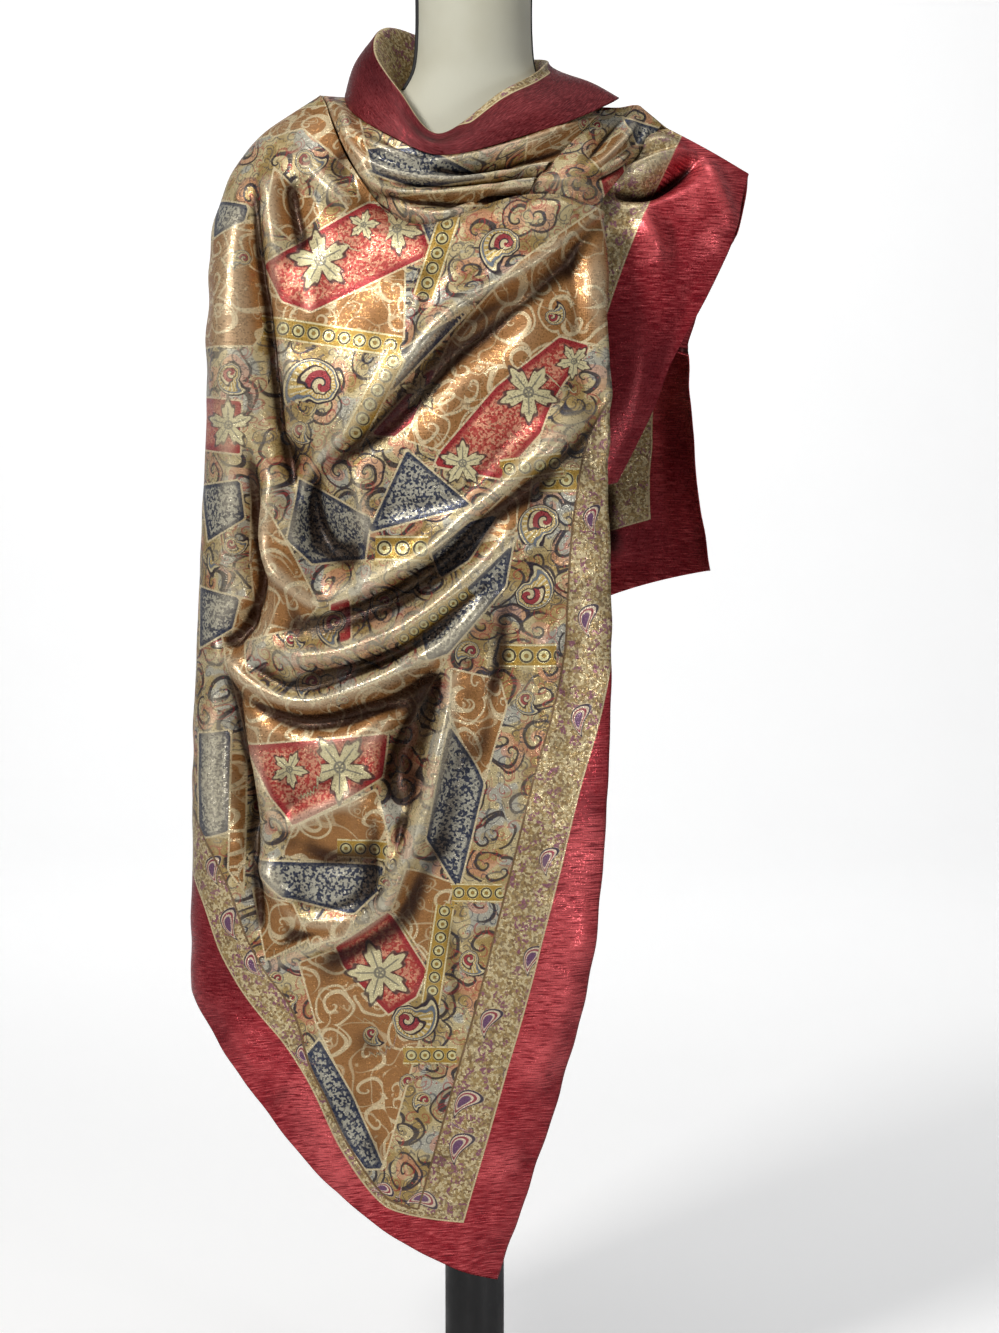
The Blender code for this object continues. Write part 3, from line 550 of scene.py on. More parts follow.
frontPatches = [
    Patch("caramel", [(-0.285, 1.411), (-0.131, 1.422), (-0.069, 1.305), (-0.070, 1.166), (-0.224, 1.185),
                      (-0.276, 1.259)]),
    Patch("beige", [(-0.265, 1.376), (-0.216, 1.387), (-0.177, 1.361), (-0.131, 1.305), (-0.178, 1.259),
                    (-0.217, 1.250), (-0.265, 1.294)]),
    Patch("caramel", [(-0.210, 1.350), (-0.177, 1.345), (-0.159, 1.299), (-0.190, 1.271), (-0.217, 1.294)]),
    Patch("beige", [(-0.216, 1.383), (-0.181, 1.393), (-0.124, 1.342), (-0.120, 1.318), (-0.178, 1.318),
                    (-0.210, 1.350)]),
    Patch("beige", [(-0.275, 1.345), (-0.236, 1.345), (-0.236, 1.318), (-0.276, 1.320)]),
    Patch("navy", [(-0.276, 1.320), (-0.236, 1.310), (-0.240, 1.291), (-0.276, 1.275)]),
    Patch("coral", [(-0.220, 1.247), (-0.110, 1.312), (-0.061, 1.308), (-0.041, 1.255), (-0.168, 1.195),
                    (-0.200, 1.207)]),
    Patch("navy", [(-0.061, 1.308), (-0.026, 1.318), (-0.041, 1.255)]),
    Patch("navy", [(-0.074, 1.154), (0.006, 1.205), (-0.074, 1.121), (-0.091, 1.104)]),
    Patch("coral", [(-0.049, 1.133), (-0.015, 1.154), (-0.034, 1.104), (-0.080, 1.066), (-0.108, 1.067)]),
    Patch("caramel", [(0.049, 1.246), (0.131, 1.305), (0.144, 1.248), (0.141, 1.104), (0.029, 1.032),
                      (-0.070, 1.063), (-0.024, 1.166), (-0.000, 1.195)]),
    Patch("coral", [(0.090, 1.170), (0.122, 1.161), (0.102, 1.104), (0.029, 1.022), (-0.041, 1.036),
                    (-0.033, 1.052), (0.024, 1.118)]),
    Patch("navy", [(0.106, 1.118), (0.138, 1.085), (0.112, 1.044), (0.078, 1.051)]),
    Patch("navy", [(-0.068, 1.054), (0.001, 0.995), (-0.110, 0.966)]),
    Patch("navy", [(-0.183, 1.024), (-0.105, 0.983), (-0.111, 0.938), (-0.169, 0.932), (-0.196, 0.958)]),
    Patch("caramel", [(-0.024, 0.951), (0.087, 1.059), (0.076, 0.996), (0.043, 0.964)]),
    Patch("caramel", [(-0.269, 0.855), (-0.018, 0.855), (-0.066, 0.763), (-0.128, 0.747), (-0.201, 0.734),
                      (-0.243, 0.744)]),
    Patch("beige", [(-0.243, 0.859), (-0.003, 0.901), (-0.025, 0.844), (-0.114, 0.807), (-0.162, 0.791),
                    (-0.201, 0.791), (-0.240, 0.819)]),
    Patch("navy", [(-0.055, 0.865), (0.043, 0.959), (0.035, 0.912), (-0.025, 0.842), (-0.047, 0.834)]),
    Patch("coral", [(-0.243, 0.741), (-0.089, 0.756), (-0.095, 0.708), (-0.145, 0.680), (-0.190, 0.657),
                    (-0.215, 0.687)]),
    Patch("caramel", [(-0.189, 0.657), (-0.102, 0.697), (-0.087, 0.644), (-0.153, 0.617), (-0.203, 0.623)]),
    Patch("navy", [(-0.249, 0.618), (-0.092, 0.617), (-0.097, 0.591), (-0.124, 0.565), (-0.180, 0.557),
                   (-0.203, 0.579), (-0.245, 0.588)]),
    Patch("caramel", [(-0.238, 0.584), (-0.192, 0.574), (-0.173, 0.535), (-0.222, 0.508)]),
    Patch("caramel", [(-0.180, 0.554), (-0.124, 0.562), (-0.135, 0.541), (-0.173, 0.529)]),
    Patch("caramel", [(-0.022, 0.826), (0.029, 0.813), (0.049, 0.739), (0.040, 0.647), (0.005, 0.713),
                      (-0.024, 0.776)]),
    Patch("navy", [(-0.025, 0.769), (0.004, 0.724), (0.040, 0.647), (0.035, 0.588), (-0.019, 0.595),
                   (-0.050, 0.647), (-0.034, 0.729)]),
    Patch("caramel", [(-0.070, 0.617), (-0.019, 0.598), (-0.047, 0.512), (-0.086, 0.571)]),
    Patch("caramel", [(-0.186, 0.509), (-0.147, 0.525), (-0.066, 0.464), (-0.022, 0.399), (-0.035, 0.294),
                      (-0.097, 0.286), (-0.134, 0.368), (-0.168, 0.442)]),
    Patch("coral", [(-0.147, 0.529), (-0.089, 0.571), (-0.048, 0.503), (-0.060, 0.474), (-0.090, 0.454),
                    (-0.139, 0.506)]),
    Patch("navy", [(-0.164, 0.427), (-0.129, 0.365), (-0.094, 0.284), (-0.116, 0.284), (-0.155, 0.342),
                   (-0.183, 0.404)]),
    Patch("caramel", [(-0.291, 1.269), (-0.229, 1.297), (-0.220, 1.176), (-0.230, 1.161), (-0.292, 1.161)]),
    Patch("coral", [(-0.293, 1.110), (-0.241, 1.104), (-0.244, 1.048), (-0.293, 1.053)]),
    Patch("navy", [(-0.295, 0.907), (-0.247, 0.897), (-0.243, 0.871), (-0.295, 0.839)]),
    Patch("caramel", [(-0.247, 0.897), (-0.195, 0.881), (-0.226, 0.855), (-0.262, 0.844)]),
    Patch("navy", [(-0.296, 0.750), (-0.259, 0.755), (-0.263, 0.644), (-0.297, 0.634)]),
    Patch("caramel", [(-0.260, 0.729), (-0.244, 0.729), (-0.247, 0.581), (-0.264, 0.602)]),
    Patch("caramel", [(-0.235, 1.032), (-0.194, 0.954), (-0.159, 0.894), (-0.180, 0.867), (-0.230, 0.855),
                      (-0.238, 0.938)]),
    Patch("navy", [(-0.044, 0.947), (-0.003, 0.980), (0.029, 0.988), (-0.003, 0.938), (-0.034, 0.918)]),
    Patch("caramel", [(0.049, 0.803), (0.077, 0.803), (0.077, 0.697), (0.050, 0.687)]),
    Patch("navy", [(-0.294, 1.015), (-0.246, 1.022), (-0.242, 0.980), (-0.284, 0.954)]),
    Patch("coral", [(-0.149, 0.893), (-0.128, 0.901), (-0.126, 0.855), (-0.153, 0.847)]),
]

frontFlowers = [
    Motif((-0.159, 1.250), 0.036, 10), Motif((-0.079, 1.283), 0.030, -30),
    Motif((0.058, 1.112), 0.034, -35), Motif((-0.010, 1.039), 0.026, 0), Motif((-0.140, 0.720), 0.038, 180),
    Motif((-0.099, 0.500), 0.038, 20), Motif((-0.054, 1.113), 0.022, 0), Motif((-0.256, 1.079), 0.028, 0),
    Motif((-0.114, 1.287), 0.018, 60), Motif((-0.194, 0.716), 0.022, 120), Motif((0.105, 1.144), 0.020, 30),
]
frontScrolls = [
    Motif((0.035, 1.265), 0.034, 30), Motif((-0.156, 1.120), 0.048, 0), Motif((-0.179, 1.075), 0.018, 90),
    Motif((0.082, 1.190), 0.017, 200), Motif((0.075, 0.980), 0.036, 40), Motif((0.058, 0.902), 0.034, 220),
    Motif((-0.144, 0.874), 0.028, 60), Motif((-0.091, 0.895), 0.018, 0), Motif((-0.191, 0.855), 0.016, 120),
    Motif((-0.071, 0.449), 0.038, 180), Motif((-0.108, 0.434), 0.017, 90), Motif((-0.001, 0.844), 0.020, 0),
    Motif((0.056, 0.795), 0.020, 90), Motif((-0.168, 0.810), 0.022, 20), Motif((-0.261, 0.938), 0.026, 0),
    Motif((-0.257, 0.954), 0.018, 150), Motif((-0.253, 1.133), 0.026, 90),
    Motif((-0.232, 0.671), 0.018, 90), Motif((-0.194, 0.469), 0.017, 60), Motif((-0.208, 0.490), 0.014, 0),
    Motif((-0.089, 0.600), 0.014, 0), Motif((-0.177, 1.359), 0.024, 140), Motif((-0.240, 1.253), 0.016, 0),
    Motif((-0.003, 0.517), 0.022, 100), Motif((-0.069, 0.383), 0.018, 100),
    Motif((-0.051, 0.362), 0.016, 10), Motif((-0.134, 0.792), 0.010, 0),
]
frontPaisleys = [
    Motif((-0.018, 0.311), 0.020, 60), Motif((0.014, 0.449), 0.018, 60), Motif((-0.011, 0.361), 0.020, 40),
    Motif((0.060, 0.517), 0.018, 60), Motif((0.076, 0.623), 0.016, 70), Motif((0.117, 0.876), 0.018, 80),
    Motif((0.122, 0.980), 0.016, 90), Motif((0.110, 0.771), 0.018, 80), Motif((0.037, 0.389), 0.014, 60),
    Motif((-0.264, 0.544), 0.018, 100), Motif((-0.237, 0.501), 0.016, 120),
    Motif((-0.183, 0.406), 0.012, 120), Motif((-0.056, 0.254), 0.018, 0), Motif((-0.099, 0.264), 0.014, 0),
    Motif((-0.282, 0.602), 0.016, 90),
]
# painted highlights, where the border and the cloth beside it catch the light
frontGlints = [
    Glint((-0.175, 0.363), 0.034), Glint((-0.156, 0.319), 0.044), Glint((-0.135, 0.275), 0.038),
    Glint((0.121, 0.634), 0.040), Glint((0.110, 0.581), 0.044), Glint((0.094, 0.528), 0.044),
    Glint((0.081, 0.474), 0.040), Glint((0.067, 0.410), 0.034), Glint((0.026, 0.292), 0.026),
]
frontChains = [
    Chain((-0.222, 1.183), (-0.073, 1.158), 0.0165), Chain((-0.077, 1.150), (-0.125, 1.063), 0.0165),
    Chain((-0.024, 1.295), (-0.050, 1.211), 0.0165), Chain((0.070, 1.022), (0.114, 1.022), 0.018),
    Chain((0.029, 0.839), (0.087, 0.839), 0.018), Chain((-0.101, 0.951), (-0.046, 0.951), 0.019),
    Chain((-0.029, 0.575), (-0.045, 0.468), 0.0145), Chain((-0.022, 0.588), (0.031, 0.588), 0.0145),
    Chain((-0.073, 0.411), (-0.018, 0.411), 0.0145), Chain((-0.142, 0.633), (-0.091, 0.633), 0.0155),
    Chain((0.031, 1.032), (0.091, 1.040), 0.0155), Chain((-0.076, 0.855), (-0.003, 0.907), 0.0125),
]


def frontSurface(shares, heights):
    # a row runs from the right edge across the front and turns back at the left side
    turn = 1.0 - np.linspace(1.0, 0.0, 800) ** 2.0
    deep = np.maximum(1.0 - turn ** front["square"], 0.0) ** (1.0 / front["square"])
    wideStep = np.diff(turn, prepend=0) * front["rowWide"]
    deepStep = np.diff(deep, prepend=1) * front["rowDeep"]
    far = np.cumsum(np.hypot(wideStep, deepStep))
    u, v = np.interp(shares * far[-1], far, turn), np.interp(shares * far[-1], far, deep)
    rightX, rightZ, leftX, leftZ, sag, skew, frontY = columnsOf(front["rows"], heights)
    x = rightX + (leftX - rightX) * u
    z = rightZ + (leftZ - rightZ) * u - sag * np.sin(math.pi * u**skew)
    curl = front["edgeCurl"] * (1.0 - np.clip(u / front["curlShare"], 0.0, 1.0)) ** 2
    y = cloth["sideY"] + (frontY - cloth["sideY"]) * v + curl
    return np.stack([x, y, z], axis=-1)


def frontCloth(shares, heights):
    mid = frontSurface(shares, heights)
    normal = normalsOf(mid, np.array([-0.5, -1.0, 0.2]))
    nearSide = 1.0 - smooth((shares - front["sideFrom"]) / front["sideOver"])
    lift = softened(foldHeight(mid, frontFolds) * nearSide, 2)
    lift += wrinkles(mid, front["wrinkle"]) * nearSide
    roll = smooth((heights - front["topFrom"]) / front["topOver"]) ** 1.5
    lift -= (front["topRoll"] * roll)[:, None] * nearSide
    return mid + normal * lift[..., None]


def frontPaint(points):
    x, z = points[..., 0], points[..., 2]
    fields = patchFields(x, z, frontPatches, frontGlints)
    right, left = bySide(x, z, frontRight)[0], -bySide(x, z, frontLeft)[0]
    more = smooth((z - front["goldLeftFrom"]) / front["goldLeftOver"])
    goldLeft = front["goldLeft"] + front["goldLeftMore"] * more
    layered(fields, "beige", right + front["columnWide"])
    layered(fields, "gold", np.maximum(right + front["goldWide"], left + goldLeft))
    layered(fields, "border", np.maximum(right, left))
    return withMotifs(fields, x, z, frontFlowers, frontScrolls, frontPaisleys, frontChains)


# The back of the shawl

backRow = namedtuple("backRow", "leftX leftZ rightX rightZ rightY rise backY")
back = {
    "across": 130,
    "up": 190,
    "topFrom": 0.76,  # from this height up the rows turn into the line over the shoulders
    "lap": 0.003,  # between this end and the gather, where they cross on the shoulder
    "roundX": 0.85,  # powers of the round on which a row goes, the second at its highest place
    "highAt": 1.25,
    "roundY": 0.75,
    "seamShare": 0.25,  # of a row, on which it leaves the front's edge
    "stillShare": 0.12,  # at the left and the top, on which its folds grow
    "wrinkle": {"long": 0.075, "high": 0.0012, "seed": 5},
    "rows": [
        backRow(-0.311, 0.466, 0.268, 0.916, 0.095, 0.085, 0.135),
        backRow(-0.308, 0.648, 0.255, 0.990, 0.092, 0.050, 0.140),
        backRow(-0.303, 0.815, 0.243, 1.080, 0.086, 0.045, 0.143),
        backRow(-0.295, 0.975, 0.232, 1.160, 0.076, 0.040, 0.140),
        backRow(-0.286, 1.140, 0.256, 1.225, 0.056, 0.035, 0.132),
        backRow(-0.276, 1.308, 0.292, 1.300, 0.026, 0.035, 0.122),
        backRow(-0.165, 1.434, 0.299, 1.352, 0.000, 0.064, 0.104),
    ],
    # over the right shoulder, from the collar outwards, and the top inside the collar
    "shoulder": [
        (0.136, -0.004, 1.424), (0.158, -0.005, 1.423), (0.178, -0.006, 1.427),
        (0.205, -0.005, 1.404), (0.250, -0.004, 1.380), (0.299, -0.004, 1.353),
    ],
    "top": [
        (-0.165, -0.016, 1.435), (-0.120, 0.010, 1.430), (-0.106, 0.040, 1.440),
        (-0.044, 0.100, 1.436), (0.044, 0.103, 1.432), (0.108, 0.056, 1.426),
    ],
    "borderWide": 0.072,
    "goldWide": 0.050,
    "overSideX": -0.235,  # patches of the front left of this show here too
    "hemMore": 0.5,  # by how much the border is wider at the left side, and from which x
    "hemMoreX": -0.22,
    "hemMoreOver": 0.08,
    # the slanting patchwork, and the motifs laid on it, in x and z
    "patchLow": (-0.28, 0.40),
    "patchHigh": (0.30, 1.45),
    "patchStep": 0.105,
    "patchSlant": 0.45,
    "motifLow": (-0.26, 0.52),
    "motifRise": 0.047,
    "motifSize": 0.026,
}

backFolds = [
    Fold([(0.200, 1.380), (0.060, 1.200), (-0.200, 1.030)], 0.020, 0.012, 0.050),
    Fold([(0.180, 1.300), (0.040, 1.090), (-0.180, 0.930)], 0.020, 0.040, 0.012),
    Fold([(0.240, 1.180), (0.080, 0.960), (-0.150, 0.780)], 0.018, 0.036, 0.012),
    Fold([(-0.200, 1.340), (-0.236, 0.950), (-0.240, 0.560)], -0.018, 0.016, 0.016),
    Fold([(-0.120, 1.400), (-0.160, 1.180), (-0.172, 0.960)], 0.014, 0.018, 0.018),
    Fold([(0.236, 1.300), (0.205, 1.130), (0.222, 0.930)], 0.010, 0.018, 0.018),
    Fold([(0.160, 1.160), (0.150, 1.030), (0.160, 0.900)], -0.010, 0.018, 0.018),
    Fold([(-0.030, 0.900), (-0.110, 0.760), (-0.170, 0.600)], 0.014, 0.028, 0.014),
    Fold([(0.050, 1.400), (0.010, 1.300), (-0.070, 1.220)], 0.010, 0.016, 0.016),
    Fold([(0.120, 1.395), (0.030, 1.260), (-0.150, 1.130)], -0.008, 0.012, 0.014),
    Fold([(0.200, 1.240), (0.080, 1.060), (-0.060, 0.920)], -0.008, 0.014, 0.012),
    Fold([(0.100, 0.900), (-0.020, 0.720), (-0.120, 0.560)], 0.008, 0.016, 0.010),
]


def shoulderLine(count, side):
    line = evened(back["shoulder"], count)
    line[:, 1] += side * back["lap"] / 2.0
    return line


def backCloth(shares, heights):
    leftX, leftZ, rightX, rightZ, rightY, rise, backY = columnsOf(back["rows"], heights)
    angle = math.pi * shares
    u = (1.0 - np.sign(np.cos(angle)) * np.abs(np.cos(angle)) ** back["roundX"]) / 2.0
    x = leftX + (rightX - leftX) * u
    z = leftZ + (rightZ - leftZ) * u + rise * np.sin(math.pi * u ** back["highAt"])
    ends = cloth["sideY"] + (rightY - cloth["sideY"]) * u
    y = ends + (backY - ends) * np.abs(np.sin(angle)) ** back["roundY"]
    mid = np.stack([x, y, z], axis=-1)
    top = np.concatenate([along(back["top"], np.linspace(0.0, 1.0, 40)), shoulderLine(24, 1.0)])
    near = smooth((heights - back["topFrom"]) / (1.0 - back["topFrom"]))[:, None, None]
    mid = mid * (1.0 - near) + evened(top, len(shares))[None] * near
    # the left edge lies on the front's own, which is the same cloth
    seam = frontSurface(np.array([1.0]), np.linspace(0.0, 1.0, 400))[:, 0]
    level = np.minimum(mid[:, 0, 2], seam[-1, 2])
    onSeam = np.stack([np.interp(level, seam[:, 2], seam[:, k]) for k in range(3)], axis=1)
    leave = 1.0 - smooth(shares / back["seamShare"])
    mid += (onSeam - mid[:, 0])[:, None] * leave[None, :, None]
    normal = normalsOf(mid, np.array([0.0, 1.0, 0.2]))
    lift = foldHeight(mid, backFolds) + wrinkles(mid, back["wrinkle"])
    lift *= smooth(shares / back["stillShare"])[None]
    lift *= smooth((1.0 - heights) / back["stillShare"])[:, None]
    return mid + normal * softened(lift, 2)[..., None]


def backPatches():
    # slanting rows of patches, one kind after another
    cycle = ("caramel", "coral", "caramel", "navy", "beige")
    low, high, step, slant = back["patchLow"], back["patchHigh"], back["patchStep"], back["patchSlant"]
    patches = []
    for i in range(int((high[0] - low[0]) / step) + 2):
        for j in range(int((high[1] - low[1]) / step) + 3):
            kind = cycle[(i * 2 + j) % len(cycle)]
            if kind == "beige":
                continue
            x, z = low[0] + i * step, low[1] + (j - 1) * step + slant * i * step
            right = x + step
            corners = [(x, z), (right, z + slant * step), (right, z + (slant + 1) * step), (x, z + step)]
            patches.append(Patch(kind, corners))
    return patches


def backPaint(points):
    x, z = points[..., 0], points[..., 2]
    # the outermost patches of the front run on round the side
    overSide = [patch for patch in frontPatches if max(patch.corners)[0] < back["overSideX"]]
    fields = patchFields(x, z, backPatches() + overSide)
    run, rise = clothLengths(points)
    more = back["hemMore"] * smooth((back["hemMoreX"] - x) / back["hemMoreOver"])
    outer = np.maximum(back["borderWide"] * (1.0 + more) - rise, back["borderWide"] - (run[:, -1:] - run))
    layered(fields, "gold", outer + back["goldWide"])
    layered(fields, "border", outer)
    flowers, scrolls = [], []
    lowX, lowZ = back["motifLow"]
    for i in range(6):
        for j in range(10):
            spot = (lowX + back["patchStep"] * i, lowZ + back["patchStep"] * j + back["motifRise"] * i)
            if (i + j) % 3 == 0:
                flowers.append(Motif(spot, back["motifSize"], 40 * i))
            elif (i + j) % 3 == 1:
                scrolls.append(Motif(spot, back["motifSize"], 70 * j))
    return withMotifs(fields, x, z, flowers, scrolls)


# The turned-down border round the neck

collarRow = namedtuple("collarRow", "rimX rimY rimZ hemX hemY hemZ footZ")
collar = {
    "round": 260,
    "up": 70,
    "rimRoll": 0.007,
    "insideDrop": 1.6,  # how far the inside lies under the rim, in rolls
    "bellyOut": 0.004,
    "bellyUp": 0.003,
    "rimShare": 0.40,  # of the way up the sheet, where the rim lies
    "stripWide": 0.010,  # of the patterned side, on the right of the front
    "stripFromX": -0.02,
    "stripOver": 0.02,
    "rows": [
        collarRow(-0.036, -0.094, 1.385, -0.026, -0.114, 1.361, 1.372),
        collarRow(-0.078, -0.076, 1.432, -0.084, -0.100, 1.381, 1.404),
        collarRow(-0.106, -0.030, 1.480, -0.134, -0.047, 1.418, 1.432),
        collarRow(-0.094, 0.030, 1.514, -0.128, 0.046, 1.452, 1.440),
        collarRow(-0.036, 0.080, 1.503, -0.046, 0.114, 1.428, 1.442),
        collarRow(0.036, 0.082, 1.488, 0.050, 0.118, 1.424, 1.442),
        collarRow(0.076, 0.036, 1.480, 0.130, 0.070, 1.430, 1.442),
        collarRow(0.077, -0.010, 1.468, 0.157, -0.026, 1.431, 1.440),
        collarRow(0.060, -0.052, 1.450, 0.122, -0.072, 1.409, 1.424),
        collarRow(0.029, -0.080, 1.430, 0.072, -0.100, 1.388, 1.405),
    ],
}


def collarCloth(turns, heights):
    # each section goes from the neck up to the rim, over it and down to the hem
    up = np.array([0.0, 0.0, 1.0])
    sections = []
    for row in collar["rows"]:
        rim = np.array([row.rimX, row.rimY, row.rimZ])
        hem = np.array([row.hemX, row.hemY, row.hemZ])
        away = unit(np.array([row.rimX, row.rimY, 0.0]))
        foot = np.array([row.rimX, row.rimY, row.footZ])
        foot[:2] = away[:2] * (formReach(foot) + cloth["hug"])
        inside = rim - (away + up * collar["insideDrop"]) * collar["rimRoll"]
        outside = rim + (away - up) * collar["rimRoll"]
        belly = (outside + hem) / 2.0 + away * collar["bellyOut"] + up * collar["bellyUp"]
        sections.append([foot, inside, rim, outside, belly, hem])
    sections = np.array(sections)
    count = len(sections)
    padded = sections[np.arange(-2, count + 3) % count].reshape(count + 5, -1)
    columns = along(padded, (2.0 + np.asarray(turns) * count) / (count + 4)).reshape(len(turns), 6, 3)
    grid = np.stack([along(column, heights) for column in columns], axis=1)
    return offTheForm(grid, cloth["hug"])


def collarPaint(points):
    x, y, z = np.moveaxis(points, -1, 0)
    rise = clothLengths(points)[1]
    outer = rise - rise[int(len(points) * collar["rimShare"])][None]
    strip = smooth((x - collar["stripFromX"]) / collar["stripOver"]) * smooth(-y / collar["stripOver"])
    fields = patchFields(x, z)
    layered(fields, "gold", np.full(x.shape, 0.5))
    layered(fields, "border", outer - collar["stripWide"] * strip)
    return withMotifs(fields, x, z)


# The cowl and the gather on the right shoulder

cowl = {
    "across": 250,
    "up": 100,
    "gatherAcross": 90,
    "gatherFrom": 0.80,
    "gatherEndX": 0.205,
    "gatherShift": 0.0008,  # keeps the two clear where they meet
    "belly": 0.010,
    "collarFrom": 0.24,  # the turns of the collar between which the cowl hangs from its hem
    "collarTo": 0.80,
    "tuckIn": 0.0058,  # inside the collar's hem, and up under it
    "tuckUp": 0.006,
    "tuckDown": 0.012,  # below and behind the top of the front, on this share of the height
    "tuckShare": 0.16,
    "dip": 0.006,  # of the top, left of dipX
    "dipX": -0.095,
    "dipOver": 0.03,
    "leftEnd": 0.06,  # shares on which the folds grow
    "rightEnd": 0.03,
}

cowlFolds = [
    Fold([(-0.150, 1.419), (-0.120, 1.381), (-0.075, 1.359), (-0.017, 1.354), (0.050, 1.371),
          (0.107, 1.399), (0.160, 1.415)], 0.0157, 0.005, 0.007),
    Fold([(-0.108, 1.389), (-0.061, 1.359), (-0.003, 1.344), (0.060, 1.358),
          (0.112, 1.377)], -0.0136, 0.006, 0.006),
    Fold([(-0.134, 1.382), (-0.106, 1.353), (-0.071, 1.340), (-0.017, 1.334), (0.066, 1.346),
          (0.123, 1.358)], 0.0157, 0.004, 0.005),
    Fold([(-0.077, 1.331), (-0.017, 1.328), (0.066, 1.339), (0.134, 1.348)], -0.0117, 0.004, 0.004),
    Fold([(-0.118, 1.356), (-0.085, 1.326), (-0.017, 1.323), (0.066, 1.332),
          (0.142, 1.344)], 0.0136, 0.004, 0.005),
    Fold([(-0.108, 1.323), (-0.056, 1.311), (0.029, 1.312), (0.092, 1.317),
          (0.134, 1.327)], -0.0175, 0.006, 0.006),
    Fold([(-0.141, 1.415), (-0.127, 1.377), (-0.104, 1.333), (-0.087, 1.317)], 0.0117, 0.006, 0.008),
    Fold([(-0.158, 1.406), (-0.139, 1.367), (-0.116, 1.325)], -0.0097, 0.006, 0.006),
]
gatherFolds = [
    Fold([(0.125, 1.348), (0.154, 1.377), (0.175, 1.406)], 0.0157, 0.005, 0.005),
    Fold([(0.134, 1.344), (0.167, 1.367), (0.191, 1.400)], 0.0175, 0.005, 0.005),
    Fold([(0.140, 1.335), (0.175, 1.356), (0.203, 1.394)], 0.0136, 0.005, 0.005),
    Fold([(0.129, 1.335), (0.160, 1.358), (0.186, 1.398)], -0.0117, 0.004, 0.004),
    Fold([(0.121, 1.356), (0.140, 1.382), (0.163, 1.410)], -0.0097, 0.005, 0.005),
]


def cowlCloth(shares, heights, folds):
    # hung between the front's top edge and the collar's hem, which runs on over the right shoulder
    steps = np.linspace(0.0, 1.0, 90)
    edge = evened(frontCloth(steps[::-1], np.array([0.965, 0.98, 1.0]))[2], 90)
    turns = np.linspace(cowl["collarFrom"], 0.0, 30), np.linspace(1.0, cowl["collarTo"], 30)[1:]
    neck = collarCloth(np.concatenate(turns), np.linspace(0.0, 1.0, 24))
    out = normalsOf(neck, unit(neck * np.array([1.0, 1.0, 0.0])) + np.array([0.0, 0.0, 0.3]))[-1]
    tucked = neck[-1] - out * cowl["tuckIn"]
    tucked[:, 2] -= cowl["dip"] * smooth((cowl["dipX"] - tucked[:, 0]) / cowl["dipOver"])
    tucked += unit(neck[-3] - neck[-1]) * cowl["tuckUp"]
    line = shoulderLine(90, -1.0)
    line = line[(line[:, 0] > back["shoulder"][2][0]) & (line[:, 0] < cowl["gatherEndX"])]
    hem = evened(np.concatenate([tucked, line]), 90)
    low = np.stack([np.interp(shares, steps, edge[:, k]) for k in range(3)], axis=1)
    high = np.stack([np.interp(shares, steps, hem[:, k]) for k in range(3)], axis=1)
    h = heights[:, None, None]
    mid = low[None] * (1 - h) + high[None] * h
    mid[..., 1] -= cowl["belly"] * (np.sin(math.pi * heights)[:, None] * np.sin(math.pi * shares)[None])
    sink = smooth((cowl["tuckShare"] - heights) / cowl["tuckShare"])[:, None]
    sink = cowl["tuckDown"] * sink * smooth(shares / cowl["leftEnd"])[None]
    mid[..., 2] -= sink
    mid[..., 1] += sink
    normal = normalsOf(mid, np.array([0.0, -1.0, 0.4]))
    ends = np.sin(math.pi * np.clip(heights, 0.0, 1.0)) ** 0.5
    sides = smooth(shares / cowl["leftEnd"]) * smooth((1.0 - shares) / cowl["rightEnd"])
    lift = foldHeight(mid, folds) * ends[:, None] * sides[None]
    return offTheForm(mid + normal * softened(lift, 1)[..., None], cloth["hug"])


cowlPatches = [
    Patch("navy", [(-0.129, 1.406), (-0.055, 1.371), (0.070, 1.377), (0.062, 1.342), (-0.056, 1.325),
                   (-0.116, 1.344)]),
    Patch("caramel", [(0.058, 1.389), (0.133, 1.408), (0.137, 1.367), (0.107, 1.354), (0.054, 1.350)]),
    Patch("coral", [(0.075, 1.340), (0.132, 1.352), (0.140, 1.325), (0.087, 1.317)]),
    Patch("caramel", [(-0.150, 1.424), (-0.122, 1.408), (-0.106, 1.346), (-0.140, 1.335), (-0.171, 1.398)]),
    Patch("caramel", [(-0.077, 1.319), (0.071, 1.329), (0.076, 1.308), (-0.066, 1.308)]),
]
gatherPatches = [
    Patch("caramel", [(0.118, 1.367), (0.160, 1.393), (0.167, 1.377), (0.134, 1.348)]),
    Patch("navy", [(0.160, 1.410), (0.205, 1.400), (0.205, 1.382), (0.175, 1.379)]),
    Patch("coral", [(0.134, 1.340), (0.160, 1.356), (0.165, 1.330), (0.138, 1.319)]),
]


def smallPaint(patches, scrolls):
    def paint(points):
        x, z = points[..., 0], points[..., 2]
        return withMotifs(patchFields(x, z, patches), x, z, scrolls=scrolls)
    return paint


# The end that hangs over the right shoulder

